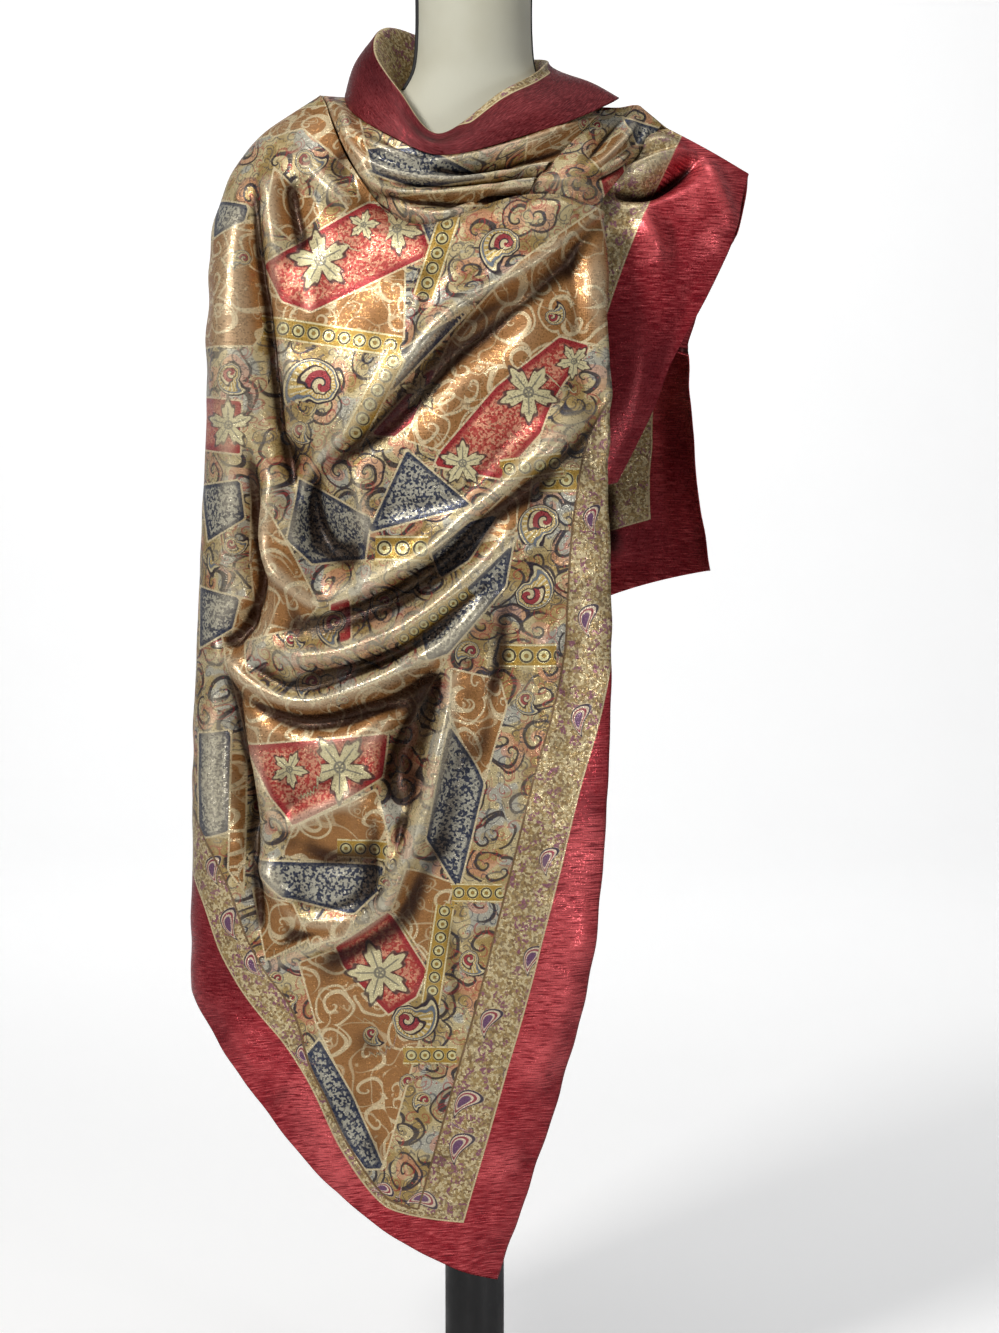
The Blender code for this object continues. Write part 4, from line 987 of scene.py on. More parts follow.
bandRow = namedtuple("bandRow", "innerX innerY innerZ outerX outerY outerZ")
band = {
    "across": 110,
    "down": 190,
    "belly": 0.010,
    "stillShare": 0.10,  # at the shoulder, on which the folds grow
    "wrinkle": {"long": 0.090, "high": 0.0008, "seed": 8},
    "rows": [
        bandRow(0.210, -0.006, 1.401, 0.299, -0.006, 1.352),
        bandRow(0.164, -0.031, 1.381, 0.291, -0.028, 1.326),
        bandRow(0.132, -0.064, 1.340, 0.283, -0.042, 1.296),
        bandRow(0.122, -0.080, 1.296, 0.273, -0.052, 1.264),
        bandRow(0.112, -0.090, 1.220, 0.249, -0.066, 1.214),
        bandRow(0.106, -0.100, 1.140, 0.213, -0.082, 1.146),
        bandRow(0.106, -0.102, 1.070, 0.182, -0.090, 1.075),
        bandRow(0.118, -0.100, 1.012, 0.153, -0.094, 1.018),
    ],
}
bandFolds = [
    Fold([(0.148, 1.343), (0.178, 1.353), (0.210, 1.364), (0.242, 1.370)], 0.0169, 0.005, 0.010),
    Fold([(0.148, 1.328), (0.184, 1.330), (0.212, 1.343), (0.242, 1.362)], -0.030, 0.008, 0.008),
    Fold([(0.178, 1.377), (0.205, 1.383), (0.231, 1.376)], 0.0091, 0.008, 0.008),
    Fold([(0.245, 1.367), (0.258, 1.330), (0.278, 1.285)], 0.013, 0.013, 0.012),
    Fold([(0.229, 1.343), (0.245, 1.303), (0.266, 1.266)], 0.006, 0.014, 0.012),
    Fold([(0.178, 1.307), (0.189, 1.282), (0.200, 1.254)], 0.011, 0.009, 0.013),
    Fold([(0.194, 1.319), (0.213, 1.277), (0.217, 1.213)], -0.0052, 0.012, 0.012),
    Fold([(0.179, 1.213), (0.175, 1.149), (0.163, 1.074)], 0.0052, 0.014, 0.014),
    Fold([(0.243, 1.266), (0.222, 1.192), (0.195, 1.117)], -0.0052, 0.012, 0.012),
]
# painted highlights, where the band catches the light
bandGlints = [
    Glint((0.249, 1.362), 0.022), Glint((0.264, 1.335), 0.026), Glint((0.278, 1.303), 0.022),
    Glint((0.232, 1.314), 0.018), Glint((0.255, 1.279), 0.020), Glint((0.187, 1.296), 0.018),
    Glint((0.196, 1.266), 0.020), Glint((0.189, 1.349), 0.022),
]
# where the border begins, down the inner side
bandInner = [(0.191, 1.323), (0.178, 1.296), (0.161, 1.254), (0.143, 1.202), (0.132, 1.160)]


def bandCloth():
    heights = np.linspace(0.0, 1.0, band["down"])
    rows = along(band["rows"], heights)
    across = np.linspace(0.0, 1.0, band["across"])[None, :, None]
    mid = rows[:, None, :3] * (1 - across) + rows[:, None, 3:] * across
    mid[..., 1] -= band["belly"] * np.sin(math.pi * across[..., 0])
    normal = normalsOf(mid, np.array([0.3, -1.0, 0.4]))
    lift = foldHeight(mid, bandFolds) + wrinkles(mid, band["wrinkle"])
    lift *= smooth(heights / band["stillShare"])[:, None]
    return offTheForm(mid + normal * softened(lift, 1)[..., None], cloth["hug"])


def bandPaint(points):
    x, z = points[..., 0], points[..., 2]
    fields = patchFields(x, z, glints=bandGlints)
    layered(fields, "gold", np.full(x.shape, 0.5))
    layered(fields, "border", bySide(x, z, bandInner)[0])
    return withMotifs(fields, x, z)


# Shader helpers

def ink(*levels):
    # a colour as it looks on the screen, red, green and blue from 0 to 255, made linear
    return tuple(((c / 255 + 0.055) / 1.055) ** 2.4 if c > 10 else c / 3295 for c in levels) + (1.0,)


def feed(tree, socket, value):
    if isinstance(value, bpy.types.NodeSocket):
        tree.links.new(value, socket)
    else:
        socket.default_value = value


def calc(tree, operation, *values):
    node = tree.nodes.new("ShaderNodeMath")
    node.operation = operation
    for k, value in enumerate(values):
        feed(tree, node.inputs[k], value)
    return node.outputs[0]


def times(tree, a, b):
    return calc(tree, "MULTIPLY", a, b)


def shift(tree, vector, other, operation="ADD"):
    node = tree.nodes.new("ShaderNodeVectorMath")
    node.operation = operation
    feed(tree, node.inputs[0], vector)
    feed(tree, node.inputs[1], other)
    return node.outputs[0]


def ramp(tree, value, low, high, toLow=0.0, toHigh=1.0):
    node = tree.nodes.new("ShaderNodeMapRange")
    node.interpolation_type = "SMOOTHSTEP"
    for k, number in enumerate((value, low, high, toLow, toHigh)):
        feed(tree, node.inputs[k], number)
    return node.outputs[0]


def mix(tree, factor, a, b, blend="MIX"):
    node = tree.nodes.new("ShaderNodeMix")
    node.data_type = "RGBA"
    node.blend_type = blend
    feed(tree, node.inputs[0], factor)
    feed(tree, node.inputs[6], a)
    feed(tree, node.inputs[7], b)
    return node.outputs[2]


def noise(tree, vector, scale, detail=2.0, rough=0.5):
    node = tree.nodes.new("ShaderNodeTexNoise")
    feed(tree, node.inputs["Vector"], vector)
    node.inputs["Scale"].default_value = scale
    node.inputs["Detail"].default_value = detail
    node.inputs["Roughness"].default_value = rough
    return node.outputs["Fac"]


def cells(tree, vector, scale, spread=1.0, flat=False):
    node = tree.nodes.new("ShaderNodeTexVoronoi")
    node.voronoi_dimensions = "2D" if flat else "3D"
    feed(tree, node.inputs["Vector"], vector)
    feed(tree, node.inputs["Scale"], scale)
    node.inputs["Randomness"].default_value = spread
    return node


def stretched(tree, vector, scale):
    node = tree.nodes.new("ShaderNodeMapping")
    feed(tree, node.inputs["Vector"], vector)
    node.inputs["Scale"].default_value = scale
    return node.outputs[0]


def attribute(tree, name, output="Fac"):
    node = tree.nodes.new("ShaderNodeAttribute")
    node.attribute_name = name
    return node.outputs[output]


def split(tree, vector):
    node = tree.nodes.new("ShaderNodeSeparateXYZ")
    feed(tree, node.inputs[0], vector)
    return node.outputs


def join(tree, x, y, z=0.0):
    node = tree.nodes.new("ShaderNodeCombineXYZ")
    for k, value in enumerate((x, y, z)):
        feed(tree, node.inputs[k], value)
    return node.outputs[0]


def newGroup(name, inputs, outputs):
    group = bpy.data.node_groups.new(name, "ShaderNodeTree")
    for way, sockets in (("INPUT", inputs), ("OUTPUT", outputs)):
        for title, kind in sockets.items():
            group.interface.new_socket(title, in_out=way, socket_type="NodeSocket" + kind)
    return group, group.nodes.new("NodeGroupInput").outputs, group.nodes.new("NodeGroupOutput").inputs


def placeGroup(tree, group, **values):
    node = tree.nodes.new("ShaderNodeGroup")
    node.node_tree = group
    for title, value in values.items():
        feed(tree, node.inputs[title], value)
    return node.outputs


def length(tree, x, y):
    return calc(tree, "SQRT", calc(tree, "ADD", times(tree, x, x), times(tree, y, y)))


def polar(tree, vector):
    x, y, _ = split(tree, vector)
    return length(tree, x, y), calc(tree, "ARCTAN2", x, y)


def bumped(tree, shader, height, strength, distance):
    node = tree.nodes.new("ShaderNodeBump")
    node.inputs["Strength"].default_value = strength
    node.inputs["Distance"].default_value = distance
    feed(tree, node.inputs["Height"], height)
    feed(tree, shader.inputs["Normal"], node.outputs[0])


def line(tree, value, at, half, soft):
    # 1 on a line where the value is near at
    away = calc(tree, "ABSOLUTE", calc(tree, "SUBTRACT", value, at))
    return ramp(tree, away, half, half + soft, 1.0, 0.0)


# Motifs of the weave, drawn from the distance and the turn round their own place, or from cells and noise

turnShare = 0.159155  # of a whole turn, in one radian


def makeLeafFlower():
    # five pointed, toothed leaves round a centre, with a dark outline and veins
    given = {"Place": "Vector"}
    out = {"Leaf": "Float", "Outline": "Float", "Vein": "Float"}
    group, given, out = newGroup("leafFlower", given, out)
    far, turn = polar(group, given["Place"])
    swing = calc(group, "ABSOLUTE", calc(group, "SINE", times(group, turn, 2.5)))
    lobes = calc(group, "SUBTRACT", 1.0, calc(group, "POWER", swing, 4.0))
    teeth = times(group, calc(group, "COSINE", times(group, turn, 15.0)), 0.11)
    reach = calc(group, "ADD", calc(group, "MULTIPLY_ADD", lobes, 0.50, 0.30), times(group, teeth, lobes))
    past = calc(group, "SUBTRACT", far, reach)
    group.links.new(ramp(group, past, -0.04, 0.02, 1.0, 0.0), out["Leaf"])
    group.links.new(ramp(group, past, 0.08, 0.15, 1.0, 0.0), out["Outline"])
    across = times(group, swing, far)
    vein = times(group, ramp(group, across, 0.03, 0.08, 1.0, 0.0), ramp(group, far, 0.60, 0.75, 1.0, 0.0))
    core = line(group, far, 0.14, 0.02, 0.03)
    group.links.new(calc(group, "MAXIMUM", vein, core), out["Vein"])
    return group


def makeScroll():
    # a curled drop in nested outlines, with a leafy edge and a spiral heart
    given = {"Place": "Vector"}
    out = {"Inside": "Float", "Colour": "Color"}
    group, given, out = newGroup("rolledScroll", given, out)
    far, turn = polar(group, given["Place"])
    bent = calc(group, "MULTIPLY_ADD", far, 2.2, turn)
    tail = calc(group, "POWER", calc(group, "MULTIPLY_ADD", calc(group, "COSINE", bent), 0.5, 0.5), 4.0)
    reach = calc(group, "MULTIPLY_ADD", tail, 0.58, 0.40)
    leafy = times(group, calc(group, "SINE", times(group, bent, 7.0)), 0.03)
    share = calc(group, "ADD", calc(group, "DIVIDE", far, reach), leafy)
    wound = times(group, far, 3.2)
    wind = calc(group, "FRACT", calc(group, "MULTIPLY_ADD", turn, turnShare, wound))
    heart = mix(group, ramp(group, wind, 0.42, 0.50), ink(206, 190, 150), ink(150, 58, 62))
    heart = mix(group, line(group, wind, 0.46, 0.05, 0.04), heart, ink(56, 44, 52))
    body = mix(group, ramp(group, share, 0.50, 0.54), heart, ink(188, 158, 92))
    ticks = ramp(group, calc(group, "SINE", times(group, turn, 26.0)), 0.2, 0.5)
    body = mix(group, times(group, ticks, line(group, share, 0.66, 0.07, 0.03)), body, ink(214, 202, 168))
    body = mix(group, line(group, share, 0.52, 0.025, 0.03), body, ink(60, 48, 52))
    body = mix(group, line(group, share, 0.82, 0.03, 0.03), body, ink(104, 112, 122))
    body = mix(group, ramp(group, share, 0.86, 0.89), body, ink(208, 194, 154))
    body = mix(group, line(group, share, 1.0, 0.045, 0.03), body, ink(54, 44, 50))
    group.links.new(ramp(group, share, 1.02, 1.08, 1.0, 0.0), out["Inside"])
    group.links.new(body, out["Colour"])
    return group


def makeCurlwork():
    # scrolls of all turns side by side, one to a cell, drawn in thin lines
    given = {"Vector": "Vector", "Scale": "Float"}
    out = {"Line": "Float", "Fill": "Float", "Spot": "Float"}
    group, given, out = newGroup("curlwork", given, out)
    drift = noise(group, given["Vector"], 22.0, 1.0)
    bend = join(group, times(group, drift, 0.030), times(group, drift, -0.02))
    bent = shift(group, given["Vector"], bend)
    spot = cells(group, bent, given["Scale"], spread=0.7, flat=True)
    x, y, _ = split(group, shift(group, bent, spot.outputs["Position"], "SUBTRACT"))
    tint = split(group, spot.outputs["Color"])
    turn = calc(group, "ADD", calc(group, "ARCTAN2", x, y), times(group, tint[0], 6.28))
    far = spot.outputs["Distance"]
    wound = times(group, calc(group, "SQRT", far), 2.3)
    wind = calc(group, "FRACT", calc(group, "MULTIPLY_ADD", turn, turnShare, wound))
    within = ramp(group, far, 0.50, 0.56, 1.0, 0.0)
    curl = times(group, line(group, wind, 0.5, 0.08, 0.05), within)
    rim = times(group, line(group, far, 0.50, 0.022, 0.02), ramp(group, tint[1], 0.35, 0.45))
    group.links.new(calc(group, "MAXIMUM", curl, rim), out["Line"])
    group.links.new(times(group, ramp(group, wind, 0.55, 0.62), within), out["Fill"])
    group.links.new(tint[2], out["Spot"])
    return group


def makePaisley():
    # a small bent drop with a pale edge and a purple heart
    given = {"Place": "Vector"}
    out = {"Inside": "Float", "Colour": "Color"}
    group, given, out = newGroup("smallPaisley", given, out)
    x, y, _ = split(group, given["Place"])
    bent = calc(group, "ADD", y, times(group, times(group, x, x), 0.45))
    taper = calc(group, "MULTIPLY_ADD", x, 0.30, 0.42)
    across = calc(group, "DIVIDE", bent, calc(group, "MAXIMUM", taper, 0.08))
    far = length(group, across, x)
    body = mix(group, ramp(group, far, 0.42, 0.50), ink(112, 78, 108), ink(216, 196, 170))
    body = mix(group, line(group, far, 0.66, 0.05, 0.04), body, ink(150, 70, 80))
    body = mix(group, line(group, far, 0.93, 0.05, 0.04), body, ink(66, 56, 70))
    group.links.new(ramp(group, far, 0.97, 1.05, 1.0, 0.0), out["Inside"])
    group.links.new(body, out["Colour"])
    return group


def makeRings():
    # a row of rings between two thin lines
    group, given, out = newGroup("ringChain", {"Place": "Vector"}, {"Inside": "Float", "Colour": "Color"})
    run, across, _ = split(group, given["Place"])
    cell = calc(group, "SUBTRACT", calc(group, "FRACT", run), 0.5)
    far = length(group, cell, across)
    side = calc(group, "ABSOLUTE", across)
    body = mix(group, ramp(group, far, 0.12, 0.16), ink(150, 120, 60), ink(214, 204, 150))
    body = mix(group, line(group, far, 0.36, 0.04, 0.03), body, ink(72, 60, 48))
    body = mix(group, ramp(group, far, 0.42, 0.46), body, ink(176, 140, 62))
    body = mix(group, line(group, side, 0.62, 0.04, 0.03), body, ink(222, 208, 164))
    group.links.new(ramp(group, side, 0.68, 0.72, 1.0, 0.0), out["Inside"])
    group.links.new(body, out["Colour"])
    return group


def makeVines():
    # thin tendrils and hooks
    group, given, out = newGroup("tendrils", {"Vector": "Vector", "Scale": "Float"}, {"Mask": "Float"})
    scaled = group.nodes.new("ShaderNodeVectorMath")
    scaled.operation = "SCALE"
    group.links.new(given["Vector"], scaled.inputs[0])
    group.links.new(given["Scale"], scaled.inputs["Scale"])
    scaled = scaled.outputs[0]
    drift = noise(group, scaled, 1.3, 1.0)
    bent = shift(group, scaled, join(group, drift, times(group, drift, -1.0)))
    spot = cells(group, bent, 1.0, spread=0.75)
    ring = line(group, spot.outputs["Distance"], 0.30, 0.022, 0.02)
    gap = ramp(group, noise(group, scaled, 2.2, 0.0), 0.44, 0.50)
    stem = line(group, noise(group, scaled, 0.8, 0.0), 0.5, 0.010, 0.008)
    hooks = line(group, spot.outputs["Distance"], 0.13, 0.03, 0.02)
    broken = times(group, calc(group, "MAXIMUM", ring, hooks), gap)
    mask = calc(group, "MAXIMUM", broken, stem)
    group.links.new(mask, out["Mask"])
    return group


leafFlower, rolledScroll, smallPaisley = makeLeafFlower(), makeScroll(), makePaisley()
ringChain, tendrils, curlwork = makeRings(), makeVines(), makeCurlwork()


def makeWeave():
    # yarn relief and the sparkle of the metallic thread
    given = {"Vector": "Vector"}
    out = {"Relief": "Float", "Sparkle": "Float", "Streak": "Float"}
    group, given, out = newGroup("satinWeave", given, out)
    run, rise, _ = split(group, given["Vector"])
    warp = calc(group, "SINE", times(group, run, 5200.0))
    weft = calc(group, "SINE", times(group, rise, 4300.0))
    grain = split(group, cells(group, given["Vector"], 620.0).outputs["Color"])[0]
    streak = noise(group, stretched(group, given["Vector"], (60.0, 900.0, 1.0)), 1.0, 2.0, 0.6)
    yarn = times(group, calc(group, "ADD", warp, weft), 0.15)
    relief = calc(group, "ADD", yarn, calc(group, "ADD", grain, streak))
    group.links.new(relief, out["Relief"])
    group.links.new(ramp(group, grain, 0.55, 0.95), out["Sparkle"])
    group.links.new(streak, out["Streak"])
    return group


satinWeave = makeWeave()


def principled(name):
    made = bpy.data.materials.new(name)
    made.use_nodes = True
    return made, made.node_tree, made.node_tree.nodes["Principled BSDF"]


shawlInks = {
    "beige": (196, 178, 134), "mustard": (164, 138, 86), "outline": (62, 52, 52),
    "caramel": (172, 124, 74), "caramelDeep": (140, 94, 52), "cream": (222, 204, 164),
    # the pale ink laid on ridges is a painted highlight
    "leaf": (212, 200, 156), "paintedRidgeHighlight": (226, 214, 184),
    "coral": (172, 66, 58), "coralPale": (208, 142, 114), "coralDeep": (156, 48, 50),
    "navy": (58, 62, 78), "silver": (176, 172, 156), "navyEdge": (44, 50, 72),
    "gold": (164, 138, 92), "goldPale": (208, 190, 148), "goldDark": (118, 92, 64), "mauve": (140, 92, 104),
    # burgundyLit is the border's painted sheen and glints
    "burgundy": (142, 20, 34), "burgundyLit": (226, 98, 102), "burgundyDark": (96, 12, 24),
    # the colour of the painted shade in deep folds
    "shadow": (72, 48, 38),
}
satin = {
    # cells or waves to a metre
    "fleckScale": 420.0,
    "floretScale": 150.0,
    "blotchScale": 26.0,
    "curlScale": 27.0,
    "leafScale": 66.0,
    "vineScale": 40.0,
    "hookScale": 25.0,
    # metres: where a patch begins, the pale edge between patches, and the border's edge
    "patchSoft": 0.0004,
    "edgeHalf": 0.0007,
    "edgeSoft": 0.0006,
    # how strongly each layer shows
    "curlInk": 0.95,
    "leafInk": 0.62,
    "dotInk": 0.65,
    "vineInk": 0.45,
    "hookInk": 0.75,
    "edgeInk": 0.85,
    # painted shade in the hollows
    "hollowPaintedShade": 0.94,
    # painted sheen on the ridges, of the patterned cloth and of the border
    "ridgePaintedSheen": 0.42,
    "borderPaintedSheen": 0.6,
    # painted highlights of the glints on the border
    "glint": 0.9,
    "sparkle": 0.22,
    "sparkleTone": (1.0, 0.97, 0.92, 1.0),
    "relief": 0.35,
    "reliefHigh": 0.0004,
}


def shawlSatin(name, shade=1.0, gloss=1.0):
    # shade darkens the border's burgundy, gloss makes the thread shinier
    made, t, shader = principled(name)
    c = {key: ink(*value) for key, value in shawlInks.items()}
    place = join(t, attribute(t, "clothRun"), attribute(t, "clothRise"))
    weave = placeGroup(t, satinWeave, Vector=place)
    spot = t.nodes.new("ShaderNodeTexCoord").outputs["Object"]
    fleckTone = split(t, cells(t, spot, satin["fleckScale"]).outputs["Color"])
    floret = cells(t, spot, satin["floretScale"])
    patch = {kind: attribute(t, kind) for kind in patchKinds}
    on = {kind: ramp(t, patch[kind], -satin["patchSoft"], satin["patchSoft"]) for kind in patchKinds}

    # beige ground with mustard blotches and dark curling outlines
    blotch = noise(t, spot, satin["blotchScale"], 2.0)
    beige = mix(t, ramp(t, blotch, 0.53, 0.57), c["beige"], c["mustard"])
    beige = mix(t, ramp(t, blotch, 0.40, 0.44, 1.0, 0.0), beige, c["silver"])
    curls = placeGroup(t, curlwork, Vector=place, Scale=satin["curlScale"])
    curlInk = mix(t, ramp(t, curls["Spot"], 0.45, 0.5), c["mustard"], c["coralPale"])
    beige = mix(t, times(t, curls["Fill"], 0.55), beige, curlInk)
    beige = mix(t, times(t, curls["Line"], satin["curlInk"]), beige, c["outline"])
    leaves = placeGroup(t, curlwork, Vector=place, Scale=satin["leafScale"])
    leafInk = mix(t, ramp(t, leaves["Spot"], 0.60, 0.62), c["navyEdge"], c["coralDeep"])
    beige = mix(t, times(t, leaves["Line"], satin["leafInk"]), beige, leafInk)
    dots = ramp(t, floret.outputs["Distance"], 0.12, 0.20, 1.0, 0.0)
    dotInk = mix(t, ramp(t, split(t, floret.outputs["Color"])[1], 0.45, 0.55), c["coral"], c["navy"])
    beige = mix(t, times(t, dots, satin["dotInk"]), beige, dotInk)

    # caramel with cream tendrils
    caramel = mix(t, weave["Streak"], c["caramelDeep"], c["caramel"])
    vines = placeGroup(t, tendrils, Vector=spot, Scale=satin["vineScale"])["Mask"]
    hooks = placeGroup(t, curlwork, Vector=place, Scale=satin["hookScale"])["Line"]
    caramel = mix(t, times(t, vines, satin["vineInk"]), caramel, c["cream"])
    caramel = mix(t, times(t, hooks, satin["hookInk"]), caramel, c["cream"])

    # coral with pale flecks, deeper along its edge
    coral = mix(t, ramp(t, fleckTone[0], 0.38, 0.62), c["coral"], c["coralPale"])
    coral = mix(t, ramp(t, patch["coral"], 0.004, 0.010, 1.0, 0.0), coral, c["coralDeep"])

    # silver florets on navy, with a plain navy edge
    navy = mix(t, ramp(t, fleckTone[1], 0.40, 0.55), c["navy"], c["silver"])
    navy = mix(t, ramp(t, floret.outputs["Distance"], 0.16, 0.30, 0.8, 0.0), navy, c["silver"])
    navy = mix(t, ramp(t, patch["navy"], 0.0035, 0.006, 0.85, 0.0), navy, c["navyEdge"])

    # the fringe of fine gold speckle
    gold = mix(t, ramp(t, fleckTone[2], 0.35, 0.6), c["gold"], c["goldPale"])
    gold = mix(t, ramp(t, fleckTone[0], 0.66, 0.80, 0.0, 0.75), gold, c["goldDark"])
    mauve = times(t, fleckTone[1], ramp(t, noise(t, spot, 90.0, 0.0), 0.45, 0.6))
    gold = mix(t, ramp(t, mauve, 0.5, 0.7), gold, c["mauve"])

    # burgundy with paler and darker streaks from the weave, the paler ones a painted sheen, darker patches,
    # and a painted highlight where a glint lies on it
    burgundy = mix(t, ramp(t, weave["Streak"], 0.42, 0.74), c["burgundy"], c["burgundyLit"])
    burgundy = mix(t, ramp(t, weave["Streak"], 0.30, 0.42, 1.0, 0.0), burgundy, c["burgundyDark"])
    burgundy = mix(t, ramp(t, noise(t, spot, 5.0, 2.0), 0.40, 0.66, 0.0, 0.6), burgundy, c["burgundyDark"])
    rough = calc(t, "MULTIPLY_ADD", noise(t, spot, 60.0, 2.0), 0.8, -0.4)
    ragged = calc(t, "ADD", attribute(t, "glint"), rough)
    glow = times(t, ramp(t, ragged, 0.10, 0.95), ramp(t, weave["Streak"], 0.38, 0.58))
    burgundy = mix(t, times(t, glow, satin["glint"]), burgundy, c["burgundyLit"])
    burgundy = mix(t, 1.0, burgundy, (shade, shade, shade, 1.0), "MULTIPLY")

    # the layers one over the other
    colour = mix(t, on["caramel"], beige, caramel)
    colour = mix(t, on["coral"], colour, coral)
    colour = mix(t, on["navy"], colour, navy)
    edges = 0.0
    for kind in ("caramel", "coral", "navy"):
        edge = line(t, patch[kind], 0.0, satin["edgeHalf"], satin["edgeSoft"])
        edges = calc(t, "MAXIMUM", edge, edges)
    colour = mix(t, times(t, edges, satin["edgeInk"]), colour, c["cream"])
    rings = placeGroup(t, ringChain, Place=attribute(t, "chainPlace", "Vector"))
    colour = mix(t, rings["Inside"], colour, rings["Colour"])
    scroll = placeGroup(t, rolledScroll, Place=attribute(t, "scrollPlace", "Vector"))
    colour = mix(t, scroll["Inside"], colour, scroll["Colour"])
    colour = mix(t, on["gold"], colour, gold)
    small = placeGroup(t, smallPaisley, Place=attribute(t, "paisleyPlace", "Vector"))
    colour = mix(t, small["Inside"], colour, small["Colour"])
    colour = mix(t, line(t, patch["gold"], 0.0, 0.0008, 0.0006), colour, c["goldDark"])
    flower = placeGroup(t, leafFlower, Place=attribute(t, "flowerPlace", "Vector"))
    colour = mix(t, times(t, flower["Outline"], 0.85), colour, c["outline"])
    colour = mix(t, flower["Leaf"], colour, c["leaf"])
    colour = mix(t, times(t, flower["Vein"], 0.7), colour, c["navy"])
    colour = mix(t, on["border"], colour, burgundy)
    colour = mix(t, line(t, patch["border"], 0.0, 0.0006, 0.0006), colour, c["goldPale"])
    # painted shade darkens the deep folds, and a painted sheen lightens the ridges, on the border too
    hollow = attribute(t, "hollow")
    # painted shade: the deeper the hollow, the darker the colour
    deep = ramp(t, hollow, 0.05, 0.8)
    colour = mix(t, times(t, deep, satin["hollowPaintedShade"]), colour, c["shadow"], "MULTIPLY")
    # painted sheen: ridges of the plain cloth lighter
    plain = calc(t, "SUBTRACT", 1.0, on["border"])
    ridge = ramp(t, hollow, -1.3, -0.05, 1.0, 0.0)
    colour = mix(t, times(t, plain, times(t, ridge, satin["ridgePaintedSheen"])), colour, c["paintedRidgeHighlight"])
    # painted highlight on the border's ridges
    lit = times(t, ridge, satin["borderPaintedSheen"] * shade)
    colour = mix(t, times(t, on["border"], lit), colour, c["burgundyLit"])
    # the thread catches the light grain by grain
    sparkle = times(t, weave["Sparkle"], satin["sparkle"])
    colour = mix(t, sparkle, colour, satin["sparkleTone"], "SOFT_LIGHT")
    t.links.new(colour, shader.inputs["Base Color"])
    t.links.new(ramp(t, weave["Sparkle"], 0.0, 1.0, 0.38 / gloss, 0.20 / gloss), shader.inputs["Roughness"])
    t.links.new(ramp(t, weave["Sparkle"], 0.0, 1.0, 0.30, 0.55), shader.inputs["Metallic"])
    shader.inputs["Specular IOR Level"].default_value = 0.3
    shader.inputs["Sheen Weight"].default_value = 0.03
    shader.inputs["Sheen Roughness"].default_value = 0.4
    bumped(t, shader, weave["Relief"], satin["relief"], satin["reliefHigh"])
    return made


def formCover():
    # off-white jersey over foam, a little soiled
    made, t, shader = principled("formCover")
    spot = t.nodes.new("ShaderNodeTexCoord").outputs["Object"]
    knit = noise(t, spot, 900.0, 2.0, 0.6)
    soil = noise(t, spot, 9.0, 3.0)
    body = mix(t, ramp(t, soil, 0.35, 0.7), ink(202, 201, 184), ink(190, 187, 166))
    body = mix(t, times(t, knit, 0.25), body, ink(190, 188, 170))
    t.links.new(body, shader.inputs["Base Color"])
    t.links.new(ramp(t, knit, 0.3, 0.7, 0.62, 0.78), shader.inputs["Roughness"])
    shader.inputs["Sheen Weight"].default_value = 0.1
    bumped(t, shader, knit, 0.25, 0.0003)
    return made


def blackPaint(name, rough):
    made, t, shader = principled(name)
    spot = t.nodes.new("ShaderNodeTexCoord").outputs["Object"]
    scuff = noise(t, spot, 40.0, 4.0, 0.65)
    body = mix(t, ramp(t, scuff, 0.55, 0.8), ink(22, 22, 24), ink(40, 40, 42))
    t.links.new(body, shader.inputs["Base Color"])
    t.links.new(ramp(t, scuff, 0.3, 0.8, rough, rough + 0.2), shader.inputs["Roughness"])
    bumped(t, shader, noise(t, spot, 700.0, 1.0), 0.2, 0.0002)
    return made


patternedSatin = shawlSatin("patternedSatin")
borderSatin = shawlSatin("borderSatin", gloss=1.15)
collarSatin = shawlSatin("collarSatin", shade=0.40, gloss=0.8)
cover = formCover()
blackMetal = blackPaint("blackMetal", 0.35)
seamThread = blackPaint("seamThread", 0.6)
print("materials made")


# Making the pieces

# which way the outer face of a sheet looks; the collar is a fold, and its outer leaf counts
frontOut = (-0.4, -1.0, 0.2)
backOut = (0.0, 1.0, 0.2)
collarOut = (0.0, -1.0, 0.5)


def standsFor(obj, node):
    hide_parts(node)
    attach(obj, "root")


def makeFront():
    shares, heights = np.linspace(0.0, 1.0, front["across"]), np.linspace(0.0, 1.0, front["up"])
    points = offTheForm(frontCloth(shares, heights), cloth["hug"])
    obj = sheetPiece("shawlFront", points, frontOut, patternedSatin, frontPaint, middleX=0.0)
    standsFor(obj, "front_panel")


def makeBack():
    points = backCloth(np.linspace(0.0, 1.0, back["across"]), np.linspace(0.0, 1.0, back["up"]))
    points = offTheForm(points, cloth["hug"])
    obj = sheetPiece("shawlBack", points, backOut, patternedSatin, backPaint, middleX=0.0)
    standsFor(obj, "back_panel")


def makeCowl():
    heights = np.linspace(0.0, 1.0, cowl["up"])
    points = cowlCloth(np.linspace(0.0, cowl["gatherFrom"], cowl["across"]), heights, cowlFolds)
    scrolls = [Motif((-0.134, 1.398), 0.012, 0), Motif((0.118, 1.400), 0.012, 90)]
    obj = sheetPiece("shawlCowl", points, frontOut, patternedSatin, smallPaint(cowlPatches, scrolls))
    standsFor(obj, "cowl")


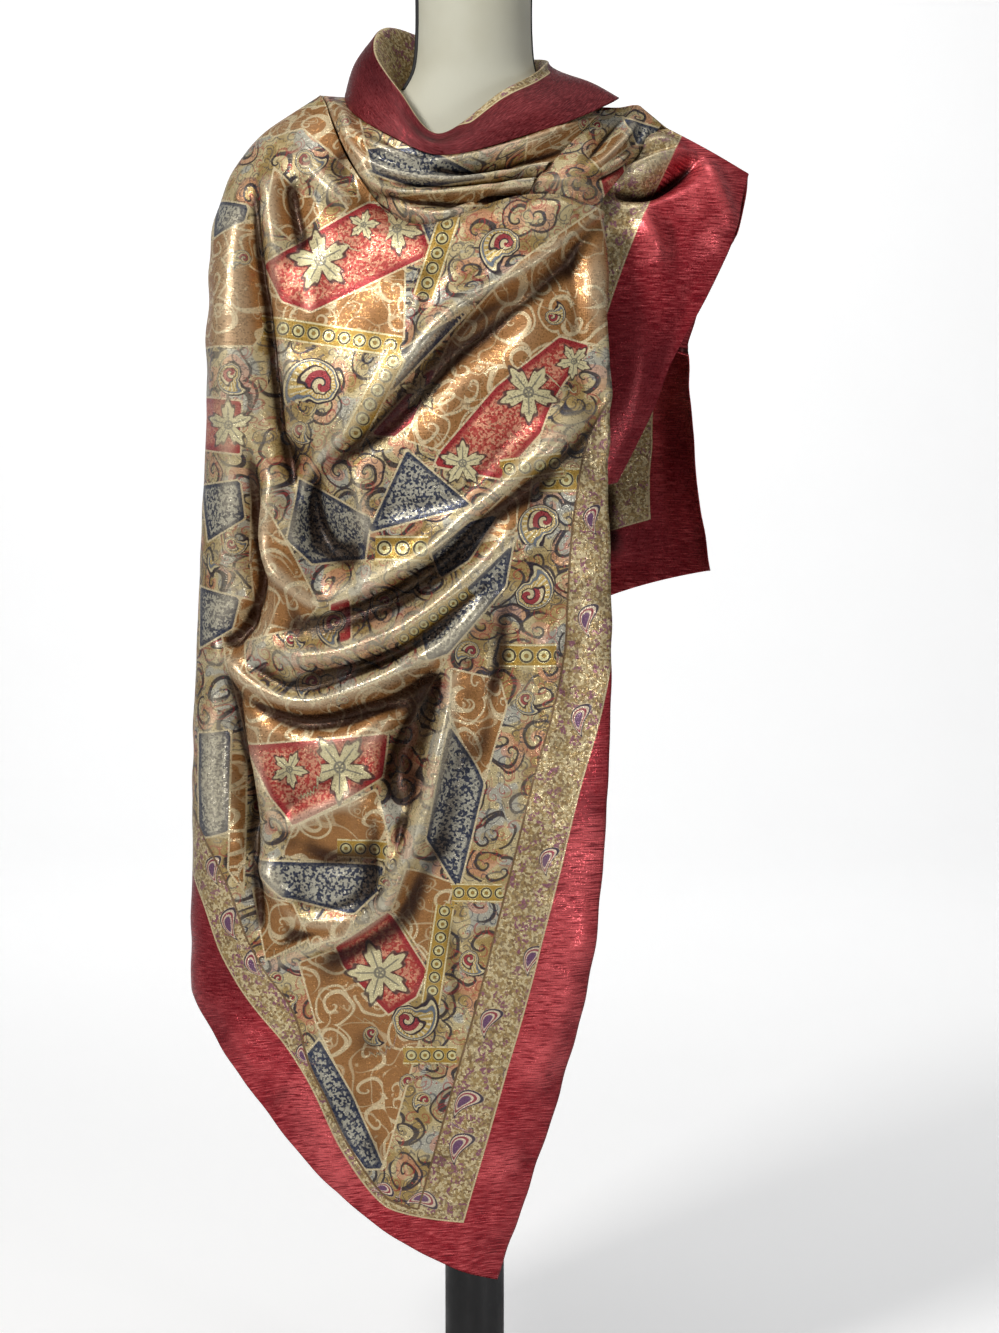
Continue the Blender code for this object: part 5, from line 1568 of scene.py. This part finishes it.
def makeGather():
    heights = np.linspace(0.0, 1.0, cowl["up"])
    points = cowlCloth(np.linspace(cowl["gatherFrom"], 1.0, cowl["gatherAcross"]), heights, gatherFolds)
    points[:, 0, 0] += cowl["gatherShift"]
    scrolls = [Motif((0.133, 1.398), 0.012, 0)]
    obj = sheetPiece("shawlGather", points, frontOut, patternedSatin, smallPaint(gatherPatches, scrolls))
    standsFor(obj, "shoulder_gather")


def makeBand():
    obj = sheetPiece("shawlBand", bandCloth()[::-1], frontOut, borderSatin, bandPaint, middleX=0.2)
    standsFor(obj, "shoulder_band")


def makeCollar():
    turns = np.linspace(0.0, 1.0, collar["round"] + 1)
    points = collarCloth(turns, np.linspace(0.0, 1.0, collar["up"]))
    obj = sheetPiece("shawlCollar", points, collarOut, collarSatin, collarPaint, ring=True)
    standsFor(obj, "collar")


def turnedPiece(name, profile, sides):
    # a profile spun about the pole's axis, its ends closed on the axis
    bm = bmesh.new()
    points = [bm.verts.new((r, 0.0, z)) for r, z in profile]
    turned = points + [bm.edges.new(pair) for pair in zip(points, points[1:])]
    turn = {"cent": (0, 0, 0), "axis": (0, 0, 1), "angle": 2 * math.pi, "steps": sides}
    bmesh.ops.spin(bm, geom=turned, use_merge=True, **turn)
    bmesh.ops.remove_doubles(bm, verts=bm.verts, dist=1e-5)
    bmesh.ops.recalc_face_normals(bm, faces=bm.faces)
    print(name, len(bm.faces), "faces")
    return pieceOf(meshOf(name, bm), blackMetal)


def makeForm():
    rings = formRings(form["rings"])
    turns = np.linspace(0.0, 2.0 * math.pi, form["sides"] + 1)
    deep = np.where(np.sin(turns)[None] > 0, rings[:, 3:4], rings[:, 2:3])
    x, y = rings[:, 1:2] * np.cos(turns)[None], deep * np.sin(turns)[None]
    bm = gridOn(np.stack([x, y, np.repeat(rings[:, :1], len(turns), axis=1)], axis=-1))[0]
    bmesh.ops.remove_doubles(bm, verts=bm.verts, dist=1e-5)
    bmesh.ops.holes_fill(bm, edges=[e for e in bm.edges if e.is_boundary], sides=0)
    bmesh.ops.recalc_face_normals(bm, faces=bm.faces)
    print("formBody", len(bm.faces), "faces")
    standsFor(pieceOf(meshOf("formBody", bm), cover), "form_torso")


neckSeams = {
    "low": 1.44,
    "rings": 40,
    # degrees round the neck from the right, and the radius of the piping that shows
    "sides": {"left": (197.0, 0.0030), "right": (-8.0, 0.0014)},
}


def makeNeckSeams():
    # a thin black piping down each side of the neck
    for side, (turn, radius) in neckSeams["sides"].items():
        out = np.array([math.cos(math.radians(turn)), math.sin(math.radians(turn)), 0.0])
        bm = bmesh.new()
        bmesh.ops.create_cone(bm, cap_ends=True, segments=10, radius1=radius, radius2=radius, depth=1.0)
        long = [e for e in bm.edges if abs(e.verts[0].co.z - e.verts[1].co.z) > 0.5]
        bmesh.ops.subdivide_edges(bm, edges=long, cuts=neckSeams["rings"])
        for vert in bm.verts:
            z = neckSeams["low"] + (vert.co.z + 0.5) * (form["neckTop"] - neckSeams["low"])
            far = float(formReach(out + np.array([0.0, 0.0, z])))
            vert.co = (out[0] * far + vert.co.x, out[1] * far + vert.co.y, z + datum)
        obj = pieceOf(meshOf(side + "NeckSeam", bm), seamThread)
        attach(obj, "root")


stand = {
    "poleSides": 64,
    "discSides": 96,
    "edge": 0.001,  # the eased edges of the pole and the cap
    "baseFoot": 0.002,  # the base stands on a smaller circle, and its rim is rounded
    "baseRim": 0.010,
    "baseRound": 0.006,
}


def makeStand():
    edge = stand["edge"]
    low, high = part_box("form_pole")
    radius = (high.x - low.x) / 2
    pole = turnedPiece("standPole", [
        (0.0, low.z), (radius, low.z), (radius, low.z + edge),
        (radius, high.z - edge), (radius, high.z), (0.0, high.z),
    ], stand["poleSides"])
    low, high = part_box("form_base")
    radius, top, foot, rim = (high.x - low.x) / 2, high.z, stand["baseFoot"], stand["baseRim"]
    profile = [(0.0, 0.0), (radius - foot, 0.0), (radius, foot), (radius, rim)]
    for k in range(1, 7):
        turn = math.radians(15.0 * k)
        inwards, up = stand["baseRound"] * (1 - math.cos(turn)), stand["baseRound"] * math.sin(turn)
        profile.append((radius - inwards, rim + up))
    profile += [(radius * 0.6, top - 0.003), (radius * 0.4, top), (0.0, top)]
    base = turnedPiece("standBase", profile, stand["discSides"])
    low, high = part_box("neck_cap")
    radius = (high.x - low.x) / 2
    cap = turnedPiece("neckCap", [
        (0.0, low.z), (radius - edge, low.z), (radius, low.z + edge), (radius, low.z + 0.006),
        (radius * 0.97, low.z + 0.0085), (radius * 0.88, low.z + 0.0105),
        (radius * 0.6, high.z - edge), (0.0, high.z),
    ], stand["discSides"])
    for obj, node in ((pole, "form_pole"), (base, "form_base"), (cap, "neck_cap")):
        standsFor(obj, node)


makeFront()
makeBack()
makeCowl()
makeGather()
makeBand()
makeCollar()
makeForm()
makeNeckSeams()
makeStand()
print("pieces made")


# Floor, light and camera

studio = {
    "paper": (0.93, 0.93, 0.93, 1.0),
    "paperDark": (0.90, 0.90, 0.90, 1.0),
    "paperGlow": 0.40,
    "wide": 7.0,  # half the paper's width
    "long": 16.0,
    "frontY": -6.0,
    "wallY": 4.4,  # where the paper begins to turn up, and the radius on which it does
    "bend": 1.2,
    "cameraAt": (0.028, -3.0, 1.09),
    "cameraTo": (0.028, -0.15, 0.866),
    "lens": 73.5,
    "sensorHigh": 36.0,
    "air": (0.94, 0.96, 1.0, 1.0),
    "airPower": 0.13,
    # the lights: place, aim, width and height, power and colour
    "lights": {
        "keyLight": ((-1.7, -2.2, 2.9), (0.0, 0.0, 1.0), (0.6, 0.7), 76.0, (1.0, 0.985, 0.96)),
        "fillLight": ((1.9, -2.3, 0.5), (0.05, 0.0, 0.7), (0.35, 0.9), 13.0, (1.0, 1.0, 1.0)),
        "lowLight": ((-1.2, -2.7, 0.12), (-0.15, 0.0, 0.28), (0.25, 0.25), 3.0, (1.0, 1.0, 1.0)),
        "topLight": ((0.3, -0.2, 3.2), (0.0, 0.0, 1.0), (1.2, 0.8), 9.0, (1.0, 1.0, 1.0)),
        "backdropLight": ((-0.4, 2.6, 3.4), (0.0, 5.4, 0.9), (3.4, 1.0), 60.0, (1.0, 1.0, 1.0)),
    },
}


def makeFloor():
    # paper on the floor that turns up into a wall far behind
    bm = bmesh.new()
    bmesh.ops.create_grid(bm, x_segments=2, y_segments=60, size=0.5)
    wallY, bend = studio["wallY"], studio["bend"]
    for vert in bm.verts:
        out = (vert.co.y + 0.5) * studio["long"] + studio["frontY"]
        turn = min(max((out - wallY) / bend, 0.0), math.pi / 2)
        past = max(out - wallY - bend * math.pi / 2, 0.0)
        y, z = min(out, wallY) + bend * math.sin(turn), bend * (1 - math.cos(turn)) + past
        vert.co = (vert.co.x * 2 * studio["wide"], y, z)
    made, t, shader = principled("studioPaper")
    spot = t.nodes.new("ShaderNodeTexCoord").outputs["Object"]
    tone = mix(t, noise(t, spot, 3.0, 2.0), studio["paper"], studio["paperDark"])
    t.links.new(tone, shader.inputs["Base Color"])
    shader.inputs["Roughness"].default_value = 0.9
    # the paper glows a little, for the camera alone, so that it stays near white
    seen = t.nodes.new("ShaderNodeLightPath").outputs["Is Camera Ray"]
    shader.inputs["Emission Color"].default_value = (1.0, 1.0, 1.0, 1.0)
    t.links.new(times(t, seen, studio["paperGlow"]), shader.inputs["Emission Strength"])
    pieceOf(meshOf("studioSweep", bm), made)


def turnedTo(obj, at, to):
    obj.location = at
    obj.rotation_euler = (Vector(to) - Vector(at)).to_track_quat("-Z", "Y").to_euler()
    bpy.context.scene.collection.objects.link(obj)


def areaLight(name, at, to, size, power, tint):
    lamp = bpy.data.lights.new(name, "AREA")
    lamp.shape = "RECTANGLE"
    lamp.size, lamp.size_y = size
    lamp.energy = power
    lamp.color = tint
    turnedTo(bpy.data.objects.new(name, lamp), at, to)


makeFloor()
for name, light in studio["lights"].items():
    areaLight(name, *light)

world = bpy.data.worlds.new("studioAir")
world.use_nodes = True
world.node_tree.nodes["Background"].inputs[0].default_value = studio["air"]
world.node_tree.nodes["Background"].inputs[1].default_value = studio["airPower"]
bpy.context.scene.world = world

camera = bpy.data.cameras.new("studioCamera")
camera.sensor_fit = "VERTICAL"
camera.sensor_height = studio["sensorHigh"]
camera.lens = studio["lens"]
cameraObject = bpy.data.objects.new("studioCamera", camera)
turnedTo(cameraObject, studio["cameraAt"], studio["cameraTo"])
bpy.context.scene.camera = cameraObject
print("studio made")

bpy.context.scene.view_settings.view_transform = "Standard"
